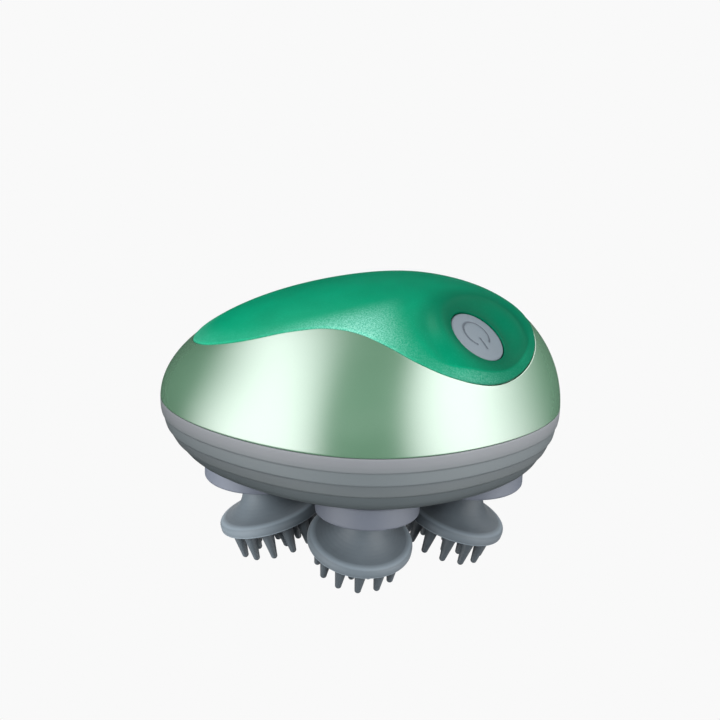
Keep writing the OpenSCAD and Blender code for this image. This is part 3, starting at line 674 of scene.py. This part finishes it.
# ---- dome shell
b = Build()
fr_rows = np.linspace(0, 1, 70)
foot = [dome(F, 0 * F, -0.12)]
foot[0][:, 2] = SEAM
rows = [foot[0]]
r0 = dome(F, 0 * F + 0.17, 0)
rows.append(r0)
top_t = E - GAP - LIP
for k in fr_rows[1:]:
    rows.append(dome(F, 0.17 + (top_t - 0.17) * k, 0))
for q in rad(np.array([12, 24, 38, 52, 66, 80, 90])):
    rows.append(dome(F, top_t + LIP * np.sin(q), -0.55 * LIP * (1 - np.cos(q))))
rows.append(dome(F, E - GAP, -1.2))
rows.append(dome(F, E - GAP, -INLAY_T - 0.1))
rows.append(dome(F, E + 0.6, -INLAY_T - 0.1))
starts = b.loops(rows)
floor_p = MID_P - (INLAY_T + 0.1) * MID_N + MID_D
fstart = b.add(floor_p)
b.strip(starts[-1], fstart, NB)
b.tris(TRI + fstart)
prev = fstart + NB
p, n = button_ring(BORE_R, NR)
cur = b.add(near_bore(p - (INLAY_T + 0.1) * n + dish(p), BORE_R, NR, 1.0))
b.strip(prev, cur, NR)
prev = cur
for r, z in ((BORE_R, -2.3), (11.0, -2.3), (11.0, -3.4), (BORE_R, -3.4), (BORE_R, -3.9), (11.7, -3.9), (11.7, -10.4), (13.6, -10.4)):
    a = np.arange(NR) / NR * 2 * np.pi
    pts = BTN_C + z * BTN_N + r * (np.cos(a)[:, None] * BTN_X + np.sin(a)[:, None] * BTN_Y)
    cur = b.add(pts)
    b.strip(prev, cur, NR)
    prev = cur
# inside of the dome: ring grid up to the crown region, then a filled patch round the button guide
NI = 240
FI = np.arange(NI) * 360.0 / NI
EI = edge(FI)


def in_depth(f, t):
    return -WALL - (INLAY_T - 0.3) * step01((t - edge(f) + 16) / 12)


lim = 18.0
in_rows = [dome(FI, 0 * FI + t, in_depth(FI, 0 * FI + t)) for t in np.linspace(0, lim, 8)]
in_xy = dome0(FI, 0 * FI + lim)[:, :2]
p, n = button_ring(13.6, NR)
hole_xy = p[:, :2]
g = hexgrid(in_xy.min(0), in_xy.max(0), 2.2)
g = g[inside(g, in_xy) & ~inside(g, hole_xy)]
g = g[away(g, in_xy, 1.2) & away(g, hole_xy, 1.0)]
tri = fill([in_xy, hole_xy], g)
xy = np.vstack([in_xy, hole_xy, g])
P, N = over(xy[:, 0], xy[:, 1])
# dome angle and depth at each point
tt = np.degrees(np.arcsin(np.clip((P[:, 2] - SEAM) / DOME_H, 0, 1)))
cc = np.cos(rad(tt))
ff = np.degrees(np.arctan2(P[:, 1] / 51.5, (P[:, 0] - 15 * (1 - cc) - 4.5 * (1 - cc ** 2)) / 63))
Q = P + in_depth(ff, tt)[:, None] * N + dish(P)
Q[NI:NI + NR] = near_bore(Q[NI:NI + NR], 13.6, NR, 1.0)
qs = b.add(Q)
b.tris(tri + qs, flip=True)
b.strip(prev, qs + NI, NR)
ins = [b.add(r) for r in in_rows[:-1]] + [qs]
for k in range(len(ins) - 1):
    b.strip(ins[k + 1], ins[k], NI)
# seam face: outer loop of NB points to inner loop of NI points
i = np.arange(NI)
step = NB // NI
quads = []
for k in range(step):
    quads.append(np.stack([ins[0] + (i + 1) % NI, starts[0] + (i * step + k + 1) % NB, starts[0] + i * step + k], 1) if k == step - 1 else
                 np.stack([ins[0] + i, starts[0] + (i * step + k + 1) % NB, starts[0] + i * step + k], 1))
quads.append(np.stack([ins[0] + i, ins[0] + (i + 1) % NI, starts[0] + i * step + step - 1], 1))
for q in quads:
    b.tris(q)
shell = b.object("upper_shell_skin", [M["mint_shell"]], 50)
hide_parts("upper_shell")
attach(shell, "housing")

# ---------------------------------------------------------------- lower hull
FRONT_A = rad(-88.4)
HEADS = {"front": (2 + 27 * math.cos(FRONT_A), 27 * math.sin(FRONT_A), 110.0), "rear": (2.0, 27.0, 255.0), "left": (-34.0, 0.0, -5.0), "right": (38.0, 0.0, 170.0)}
TURN = {"front": 14, "rear": 15, "left": 28, "right": 7}     # turn of each head's tines
COLUMNS = [(2 + sx, sy) for sx in (-29.5, 29.5) for sy in (-26, 26)]
HULL_D = 20.5
HULL_Z = SEAM - HULL_D
STEPS = [(0.2, 0.15), (0.5, 0), (3.4, 0), (4.9, 0.1), (5.25, 0.2), (5.38, 0.5), (5.8, 0.5), (9.5, 0.3),
         (9.85, 0.4), (9.98, 0.75), (10.4, 0.75), (13.7, 0.5), (14.1, 0.6), (14.23, 0.98), (14.6, 0.95), (17.4, 0.7), (18.5, 0.85),
         (19.4, 1.4), (20.1, 2.4), (HULL_D, 4)]


def hull_p(f, h, inset):
    x, y = plan(f)
    n = plan_n(f)
    sx, sy = 1 - 0.184 * (h / 22) ** 2.36, 1 - 0.104 * (h / 22) ** 3.2
    return np.stack([x * sx + 9.7 * (1 - sx) - inset * n[:, 0], y * sy - inset * n[:, 1], np.full(len(f), SEAM - h)], -1)


b = Build()
profile = smooth_line(STEPS, 0.22, 0.13)
profile[:, 0] = np.clip(profile[:, 0], 0.2, HULL_D)
rows = [hull_p(F, h, w) for h, w in profile[::-1]]
starts = b.loops(rows)
NQ = 64
hub = [circle(8, NQ, x, y) for x, y, _ in HEADS.values()]
scr = [circle(2.8, 32, x, y) for x, y in COLUMNS]
loops = [rows[0][:, :2]] + hub + scr
tri = fill(loops, np.zeros((0, 2)))
base = b.add(at_z(np.vstack(loops), HULL_Z))
b.tris(tri + base, flip=True)
b.strip(base, starts[0], NB)
# hub bores, boss tops and inner floor
offs = np.cumsum([0] + [len(q) for q in loops])
FLOOR = SEAM - 18.05
in_prof = [(0.2, 0), (3, 0.12), (6, 0.25), (9.5, 0.4), (13, 0.55), (15, 0.65), (16.6, 0.75), (17.5, 1.3), (18.05, 2.6)]
inner = [hull_p(F, h, w + WALL) for h, w in in_prof]
iloops = [inner[-1][:, :2]] + [circle(10, NQ, x, y) for x, y, _ in HEADS.values()] + [circle(3.8, 32, x, y) for x, y in COLUMNS] + [circle(4.8, 48, 2, 0)]
tri = fill(iloops, np.zeros((0, 2)))
ibase = b.add(at_z(np.vstack(iloops), FLOOR))
b.tris(tri + ibase)
ioffs = np.cumsum([0] + [len(q) for q in iloops])
for k, (x, y, _) in enumerate(HEADS.values()):
    a0 = base + offs[1 + k]
    top_in = b.add(at_z(circle(8, NQ, x, y), 38.6))
    top_out = b.add(at_z(circle(10, NQ, x, y), 38.6))
    b.strip(top_in, a0, NQ)
    b.strip(top_out, top_in, NQ)
    b.strip(ibase + ioffs[1 + k], top_out, NQ)
for k, (x, y) in enumerate(COLUMNS):
    a0 = base + offs[5 + k]
    r1 = b.add(at_z(circle(2.8, 32, x, y), HULL_Z + 3))
    r2 = b.add(at_z(circle(1.6, 32, x, y), HULL_Z + 3))
    r3 = b.add(at_z(circle(1.6, 32, x, y), 52.8))
    r4 = b.add(at_z(circle(3.8, 32, x, y), 52.8))
    for p0, p1 in ((r1, a0), (r2, r1), (r3, r2), (r4, r3), (ibase + ioffs[5 + k], r4)):
        b.strip(p0, p1, 32)
pil = [ibase + ioffs[9], b.add(at_z(circle(4.8, 48, 2, 0), 38.1)), b.add(at_z(circle(3, 48, 2, 0), 38.1)), b.add(at_z(circle(3, 48, 2, 0), HULL_Z + 1))]
for p0, p1 in zip(pil, pil[1:]):
    b.strip(p0, p1, 48)
b.fan(pil[-1], 48)
ins = [b.add(r) for r in inner[:-1]] + [ibase]
for k in range(len(ins) - 1):
    b.strip(ins[k + 1], ins[k], NB)
b.strip(starts[-1], ins[0], NB)
hull = b.object("lower_hull_skin", [M["hull_grey"]], 40)
# charging socket opening at the back
import bmesh
cut = Build()
cl = []
for y in (42.0, 58.0):
    q = circle(4.1, 64)
    cl.append(cut.add(np.stack([2 - q[:, 0], np.full(64, y), 48.7 + q[:, 1]], 1)))
cut.strip(cl[0], cl[1], 64)
cut.fan(cl[0], 64, flip=True)
cut.fan(cl[1], 64)
cutter = cut.object("socket_cutter", [M["hull_grey"]], 30)
md = hull.modifiers.new("socket", "BOOLEAN")
md.operation = "DIFFERENCE"
md.solver = "EXACT"
md.object = cutter
bpy.context.view_layer.update()
dg = bpy.context.evaluated_depsgraph_get()
fresh = bpy.data.meshes.new_from_object(hull.evaluated_get(dg))
hull.modifiers.clear()
hull.data = fresh
bpy.data.objects.remove(cutter)
hull.data.shade_smooth()
hull.data.set_sharp_from_angle(angle=math.radians(40))
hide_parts("lower_hull")
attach(hull, "housing")

# ---------------------------------------------------------------- power button
b = Build()
NC = 180


def cap_z(r):
    return 0.5 - 0.5 * (r / 9.4) ** 2 * 0.96


def capsule_arc(w, r0, a0, a1, n=72, ends=8):
    """Closed outline of a band of width w along an arc of radius r0."""
    t = rad(np.linspace(a0, a1, n))
    out = np.stack([(r0 + w / 2) * np.cos(t), (r0 + w / 2) * np.sin(t)], 1)
    c = np.array([r0 * math.cos(t[-1]), r0 * math.sin(t[-1])])
    q = t[-1] + np.pi * np.arange(1, ends) / ends
    e1 = c + w / 2 * np.stack([np.cos(q), np.sin(q)], 1)
    back = np.stack([(r0 - w / 2) * np.cos(t[::-1]), (r0 - w / 2) * np.sin(t[::-1])], 1)
    c = np.array([r0 * math.cos(t[0]), r0 * math.sin(t[0])])
    q = t[0] + np.pi + np.pi * np.arange(1, ends) / ends
    e0 = c + w / 2 * np.stack([np.cos(q), np.sin(q)], 1)
    return np.vstack([out, e1, back, e0])


def capsule_bar(w, x0, x1, n=14, ends=8):
    s = np.linspace(x1, x0, n)
    top = np.stack([s, np.full(n, w / 2)], 1)
    q = np.pi / 2 + np.pi * np.arange(1, ends) / ends
    left = np.stack([x0 + w / 2 * np.cos(q), w / 2 * np.sin(q)], 1)
    bot = np.stack([s[::-1], np.full(n, -w / 2)], 1)
    q = -np.pi / 2 + np.pi * np.arange(1, ends) / ends
    right = np.stack([x1 + w / 2 * np.cos(q), w / 2 * np.sin(q)], 1)
    return np.vstack([top, left, bot, right])


turn = rad(-14.0)
R2 = np.array([[math.cos(turn), -math.sin(turn)], [math.sin(turn), math.cos(turn)]])


def placed(q):
    return (q + np.array([-1.0, 0.0])) @ R2.T


GROOVE = [(0.86, 0.0), (0.74, -0.05), (0.62, -0.2), (0.46, -0.27)]
ring_loops = [placed(capsule_arc(w, 5.0, 38, 322)) for w, _ in GROOVE]
bar_loops = [placed(capsule_bar(w, 2.1, 6.1)) for w, _ in GROOVE]
rim = circle(9.4, NC)
g = hexgrid((-9.5, -9.5), (9.5, 9.5), 0.55)
g = g[(g ** 2).sum(1) < 9.1 ** 2]
g = g[~inside(g, ring_loops[0]) & ~inside(g, bar_loops[0])]
g = g[away(g, ring_loops[0], 0.28) & away(g, bar_loops[0], 0.28)]
tri = fill([rim, ring_loops[0], bar_loops[0]], g)
xy = np.vstack([rim, ring_loops[0], bar_loops[0], g])
s0 = b.add(np.column_stack([xy, cap_z(np.hypot(xy[:, 0], xy[:, 1]))]))
b.tris(tri + s0)
off = s0 + NC
for loops in (ring_loops, bar_loops):
    n = len(loops[0])
    prev = off
    off += n
    for k in (1, 2, 3):
        q = loops[k]
        cur = b.add(np.column_stack([q, cap_z(np.hypot(q[:, 0], q[:, 1])) + GROOVE[k][1]]))
        b.strip(prev, cur, n, 1 if k > 1 else 0)
        prev = cur
    t = fill([loops[3]], np.zeros((0, 2)))
    b.tris(t + prev, 1)
prev = s0
side = [(9.58, 0.0), (9.72, -0.04), (9.83, -0.1), (9.91, -0.19), (9.96, -0.3), (9.99, -0.44), (10.0, -0.6), (10.0, -4.0), (11.2, -4.0), (11.2, -5.0), (2.5, -5.0), (2.5, -5.9)]
for r, z in side:
    cur = b.add(at_z(circle(r, NC), z))
    b.strip(cur, prev, NC)
    prev = cur
b.fan(prev, NC, flip=True)
BTN_MOVE = (np.stack([BTN_X, BTN_Y, BTN_N], 1), BTN_C)
button = b.object("power_button_cap", [M["grey_button"], M["button_mark"]], 45, BTN_MOVE)
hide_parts("power_button")
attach(button, "button")

# ---------------------------------------------------------------- heads
TILT = rad(17.5)
CREASE = SEAM - 39.5
COLLAR_Z = SEAM - 28.2
TIP_R = 1.1
RING = 12.7
TIP_H = (CREASE - TIP_R - RING * math.sin(TILT)) / math.cos(TILT)
NECK = (COLLAR_Z - CREASE) / math.cos(TILT)


def head_move(x, y, ph):
    ph = rad(ph)
    rz = np.array([[math.cos(ph), -math.sin(ph), 0], [math.sin(ph), math.cos(ph), 0], [0, 0, 1]])
    ry = np.array([[math.cos(-TILT), 0, math.sin(-TILT)], [0, 1, 0], [-math.sin(-TILT), 0, math.cos(-TILT)]])
    return rz @ ry, rz @ np.array([4.8, 0, 0]) + np.array([x, y, CREASE])


def head_mesh(turn_deg):
    b = Build()
    n = 192
    zb = -3.25
    tines = [(RING * math.cos(rad(turn_deg + 30 * i)), RING * math.sin(rad(turn_deg + 30 * i)), TIP_H) for i in range(12)]
    tines += [(7.4 * math.cos(rad(turn_deg + 45 * i)), 7.4 * math.sin(rad(turn_deg + 45 * i)), TIP_H - 0.8) for i in range(8)]
    tines += [(0.0, 0.0, TIP_H - 1.2)]
    nt = 40
    root = 2.5
    rimr = 16.75
    loops = [circle(rimr, n)] + [circle(root if x or y else 4.6, nt, x, y) for x, y, _ in tines]
    tri = fill(loops, np.zeros((0, 2)))
    s0 = b.add(at_z(np.vstack(loops), zb))
    b.tris(tri + s0, flip=True)
    off = s0 + n
    for x, y, h in tines:
        prev = off
        off += nt
        prof = [(2.37, zb - 0.04), (2.29, zb - 0.13), (2.24, zb - 0.32)]
        top = zb - 0.32
        if not (x or y):                     # the middle tine stands on the boss over the screw
            prof = [(4.6, -3.8), (4.52, -4.03), (4.35, -4.2), (4.1, -4.28), (3.9, -4.3), (2.37, -4.34), (2.24, -4.6)]
            top = -4.6
        for k in range(1, 9):
            u = k / 8
            prof.append((2.24 + (TIP_R * 0.985 - 2.24) * u, top + (-h - top) * u))
        for a in (14, 28, 42, 56, 70, 82):
            prof.append((TIP_R * math.cos(rad(a)), -h - TIP_R * math.sin(rad(a))))
        # the tines' weight of -0.3 is painted shade: darker tines, as if shadowed under the hull
        for r, z in prof:
            cur = b.add(at_z(circle(r, nt, x, y), z), -0.3)
            b.strip(cur, prev, nt)
            prev = cur
        b.fan(prev, nt, flip=True)
    # outside of the skirt, from the underside up
    pts = [(rimr, zb), (17.05, -3.22), (17.3, -3.1), (17.4, -2.85), (17.4, -1.5), (17.3, -0.8), (17.05, -0.3), (16.65, 0.08),
           (16.1, 0.34), (15.3, 0.6), (14.2, 0.92), (13.0, 1.35), (11.8, 1.95), (10.6, 2.75), (9.5, 3.7), (8.55, 4.8), (7.8, 5.95), (7.25, 7.1), (6.9, 8.3), (6.65, 9.6), (6.5, 11.0), (6.45, 14.6)]
    prof = smooth_line(pts, 0.16, 0.14)
    prof = np.vstack([[rimr, zb], prof[prof[:, 0] > 0][1:]])
    rows = [at_z(circle(r, n), z) for r, z in prof]
    # painted highlight: weights for a lighter crest on the rim and a light line along its lower edge
    painted_rim_highlight = [max(0.40 * math.exp(-((z + 1.4) / 1.5) ** 2) * (1 if r > 16.6 else 0), 0.8 * math.exp(-((z - 0.2) / 0.42) ** 2) * (1 if r > 15 else 0),
                 1.0 if z < -2.65 and r > 17.0 else 0) for r, z in prof]
    flat_z = COLLAR_Z - 0.05 - CREASE            # height of the collar's face above the head's origin
    # the neck stops at the collar's flat face, which is tilted in this frame
    up = np.array([-math.sin(-TILT) * -1.0, 0.0, math.cos(TILT)])

    def world_h(p):
        return p[:, 2] * math.cos(TILT) + p[:, 0] * math.sin(TILT)

    kept = []
    for r in rows:
        h = world_h(r)
        over_it = h > flat_z
        r = r.copy()
        r[over_it, 2] = (flat_z - r[over_it, 0] * math.sin(TILT)) / math.cos(TILT)
        kept.append(r)
        if over_it.all():
            break
    prev = s0
    for r, w in zip(kept[1:], painted_rim_highlight[1:]):
        cur = b.add(r, np.full(n, w))
        b.strip(prev, cur, n)
        prev = cur
    # mouth of the neck and the pocket for the core
    last = kept[-1]
    mouth = last.copy()
    k = 5.1 / np.hypot(last[:, 0], last[:, 1])
    mouth[:, 0] *= k
    mouth[:, 1] *= k
    mouth[:, 2] = (flat_z - mouth[:, 0] * math.sin(TILT)) / math.cos(TILT)
    cur = b.add(mouth)
    b.strip(prev, cur, n)
    prev = cur
    for r, z in ((5.1, 6.0), (5.32, 4.05), (6.55, 1.9), (9.6, 0.22), (12.7, -0.7), (13.1, -1.05), (13.1, -1.65), (12.7, -2.1), (4.5, -2.1), (4.5, -3.5)):
        cur = b.add(at_z(circle(r, n), z))
        b.strip(prev, cur, n)
        prev = cur
    b.fan(prev, n)
    return b


pads = {}
for side_name, (x, y, ph) in HEADS.items():
    hb = head_mesh(TURN[side_name])
    pad = hb.object(side_name + "_head_skin", [M["head_silicone"]], 48, head_move(x, y, ph))
    pads[side_name] = pad
    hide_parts(side_name + "_head_pad")
    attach(pad, side_name + "_head")

# ---------------------------------------------------------------- stage, light, camera
WHITE = srgb(249, 249, 249)[0]


def emitter(name, colour, strength):
    m = bpy.data.materials.new(name)
    m.use_nodes = True
    t = m.node_tree
    t.nodes.clear()
    out = t.nodes.new("ShaderNodeOutputMaterial")
    em = t.nodes.new("ShaderNodeEmission")
    em.inputs["Color"].default_value = (*colour, 1)
    em.inputs["Strength"].default_value = strength
    clear = t.nodes.new("ShaderNodeBsdfTransparent")
    geo = t.nodes.new("ShaderNodeNewGeometry")
    mix = t.nodes.new("ShaderNodeMixShader")
    t.links.new(geo.outputs["Backfacing"], mix.inputs[0])
    t.links.new(em.outputs[0], mix.inputs[1])
    t.links.new(clear.outputs[0], mix.inputs[2])
    t.links.new(mix.outputs[0], out.inputs["Surface"])
    return m


def stage_object(name, verts, faces, mat):
    me = bpy.data.meshes.new(name)
    me.from_pydata(verts, [], faces)
    me.materials.append(mat)
    ob = bpy.data.objects.new(name, me)
    bpy.context.scene.collection.objects.link(ob)
    for k in ("visible_diffuse", "visible_glossy", "visible_transmission", "visible_volume_scatter", "visible_shadow"):
        setattr(ob, k, False)
    return ob


S = 6.0
stage_object("studio_floor", [(-S, -S, -0.0002), (S, -S, -0.0002), (S, S, -0.0002), (-S, S, -0.0002)], [(0, 1, 2, 3)], emitter("pale_floor", (1, 1, 1), WHITE))
bm = bmesh.new()
bmesh.ops.create_icosphere(bm, subdivisions=5, radius=6.5)
bmesh.ops.reverse_faces(bm, faces=bm.faces)
me = bpy.data.meshes.new("studio_backdrop")
bm.to_mesh(me)
bm.free()
me.materials.append(emitter("pale_backdrop", (1, 1, 1), WHITE))
back = bpy.data.objects.new("studio_backdrop", me)
bpy.context.scene.collection.objects.link(back)
for k in ("visible_diffuse", "visible_glossy", "visible_transmission", "visible_volume_scatter", "visible_shadow"):
    setattr(back, k, False)

D, EL, AZ, ROLL = 930.0, math.radians(21.25), math.radians(-1.5), math.radians(2.1)
TO_CAMERA = Vector((math.sin(AZ) * math.cos(EL), -math.cos(AZ) * math.cos(EL), math.sin(EL)))

world = bpy.data.worlds.new("studio")
bpy.context.scene.world = world
world.use_nodes = True
t = world.node_tree
t.nodes.clear()


def wn(kind, **kw):
    n = t.nodes.new(kind)
    for k, v in kw.items():
        setattr(n, k, v)
    return n


def wmath(op, a, b=0.0, clamp=False):
    n = wn("ShaderNodeMath", operation=op, use_clamp=clamp)
    for i, v in enumerate((a, b)):
        if hasattr(v, "links"):
            t.links.new(v, n.inputs[i])
        else:
            n.inputs[i].default_value = v
    return n.outputs[0]


def wsmooth(v, lo, hi):
    """0 below lo and 1 above hi, smooth between; lo above hi turns it round."""
    n = wn("ShaderNodeMapRange", interpolation_type="SMOOTHSTEP")
    flip = lo > hi
    n.inputs["From Min"].default_value, n.inputs["From Max"].default_value = (hi, lo) if flip else (lo, hi)
    n.inputs["To Min"].default_value, n.inputs["To Max"].default_value = (1.0, 0.0) if flip else (0.0, 1.0)
    t.links.new(v, n.inputs["Value"])
    return n.outputs["Result"]


def wmul(*terms):
    out = terms[0]
    for v in terms[1:]:
        out = wmath("MULTIPLY", out, v)
    return out


tc = wn("ShaderNodeTexCoord")
sep = wn("ShaderNodeSeparateXYZ")
t.links.new(tc.outputs["Generated"], sep.inputs[0])
X, Y, Z = sep.outputs["X"], sep.outputs["Y"], sep.outputs["Z"]
# Half vector between each direction and the camera's: the panels' edges are set where they show on the dome
half = wn("ShaderNodeVectorMath", operation="ADD")
t.links.new(tc.outputs["Generated"], half.inputs[0])
half.inputs[1].default_value = TO_CAMERA
scaled = wn("ShaderNodeVectorMath", operation="MULTIPLY")
t.links.new(half.outputs["Vector"], scaled.inputs[0])
scaled.inputs[1].default_value = (66, 36, 30)
norm = wn("ShaderNodeVectorMath", operation="NORMALIZE")
t.links.new(scaled.outputs["Vector"], norm.inputs[0])
hsep = wn("ShaderNodeSeparateXYZ")
t.links.new(norm.outputs["Vector"], hsep.inputs[0])
S = hsep.outputs["X"]
low_cut = wsmooth(Z, -0.75, -0.38)
back_cut = wsmooth(Y, 0.8, 0.42)
neg = wmath("MULTIPLY", S, -1.0)
left_out = wmath("ADD", neg, wmath("ADD", wmath("MULTIPLY", Z, 0.08), wmath("MULTIPLY", Y, 0.108)))
left_panel = wmul(wsmooth(neg, 0.325, 0.63), wsmooth(left_out, 0.965, 0.72), low_cut, back_cut)
right_in = wmath("ADD", S, wmath("MULTIPLY", Z, 0.11))
right_out = wmath("ADD", S, wmath("MULTIPLY", Z, 0.07))
right_panel = wmul(wsmooth(right_in, 0.225, 0.655), wsmooth(right_out, 0.97, 0.745), low_cut, back_cut)
PANEL, FILL = 3.4, 0.02
total = wmath("ADD", wmath("MULTIPLY", wmath("ADD", left_panel, right_panel), PANEL), FILL)
bg = wn("ShaderNodeBackground")
bg.inputs["Color"].default_value = (1, 1, 1, 1)
t.links.new(total, bg.inputs["Strength"])
out = wn("ShaderNodeOutputWorld")
t.links.new(bg.outputs[0], out.inputs["Surface"])


def soft_light(name, where, size, power, aim=(0, 0, 0.06), glossy=False, only=None, diffuse=True, skip=None):
    """Soft area light, in metres, not seen by the camera."""
    data = bpy.data.lights.new(name, "AREA")
    data.shape = "DISK"
    data.size = size
    data.energy = power
    ob = bpy.data.objects.new(name, data)
    bpy.context.scene.collection.objects.link(ob)
    ob.location = where
    ob.rotation_mode = "QUATERNION"
    ob.rotation_quaternion = (Vector(where) - Vector(aim)).to_track_quat("Z", "Y")
    ob.visible_camera = False
    ob.visible_glossy = glossy
    ob.visible_diffuse = diffuse
    if only:
        lit = bpy.data.collections.new(name + "_receivers")
        for piece in only:
            lit.objects.link(piece)
        ob.light_linking.receiver_collection = lit
    if skip:
        dark = bpy.data.collections.new(name + "_skipped")
        for piece in skip:
            dark.objects.link(piece)
        for entry in dark.collection_objects:
            entry.light_linking.link_state = "EXCLUDE"
        ob.light_linking.receiver_collection = dark
    return ob


soft_light("rear_fill", (0.1, 1.0, 0.28), 0.9, 3.0, skip=[inlay])
soft_light("front_fill", (-0.03, -1.0, 0.36), 0.6, 6.5, skip=[inlay, pads["left"], pads["right"], pads["rear"]])
soft_light("side_fill", (-0.35, -0.95, 0.42), 0.3, 4.2, only=[pads["left"], pads["right"], pads["rear"]])
soft_light("left_fill", (-1.0, -0.25, 0.12), 0.5, 12.0, only=[pads["left"], frame["nodes"]["left_collar"]])
soft_light("right_fill", (0.95, -0.5, 0.06), 0.3, 2.0, only=[frame["nodes"]["right_collar"]])
soft_light("inlay_rear", (0.15, 1.0, 0.2), 0.5, 8.0, only=[inlay])
soft_light("inlay_shine", (-0.22, 0.12, 0.85), 0.5, 9.0, glossy=True, only=[inlay], diffuse=False)
soft_light("inlay_key", (-0.66, -0.82, 0.38), 0.5, 30.0, only=[inlay])

cam_data = bpy.data.cameras.new("camera")
cam = bpy.data.objects.new("camera", cam_data)
bpy.context.scene.collection.objects.link(cam)
bpy.context.scene.camera = cam
cam_data.sensor_width = 36.0
cam_data.lens = 3.027 * 930 / 720 * 36.0
cam_data.clip_start, cam_data.clip_end = 0.01, 30.0
back_v = TO_CAMERA
place = Vector((0, 0, 56.0)) + D * back_v
right = Vector((math.cos(AZ), math.sin(AZ), 0))
up = back_v.cross(right)
right_r = right * math.cos(ROLL) + up * math.sin(ROLL)
up_r = up * math.cos(ROLL) - right * math.sin(ROLL)
# the body's middle sits below and beside the picture's middle
aim = Vector((0, 0, 56.0)) + (39.2 * up_r - 0.5 * right_r) / 3.027
z_axis = (place - aim).normalized()
x_axis = (right_r - z_axis * right_r.dot(z_axis)).normalized()
y_axis = z_axis.cross(x_axis)
mw = Matrix((x_axis, y_axis, z_axis)).transposed().to_4x4()
mw.translation = place * MM
cam.matrix_world = mw

vs = bpy.context.scene.view_settings
vs.view_transform = "Standard"
vs.look = "None"
vs.exposure = 0.0
vs.gamma = 1.0
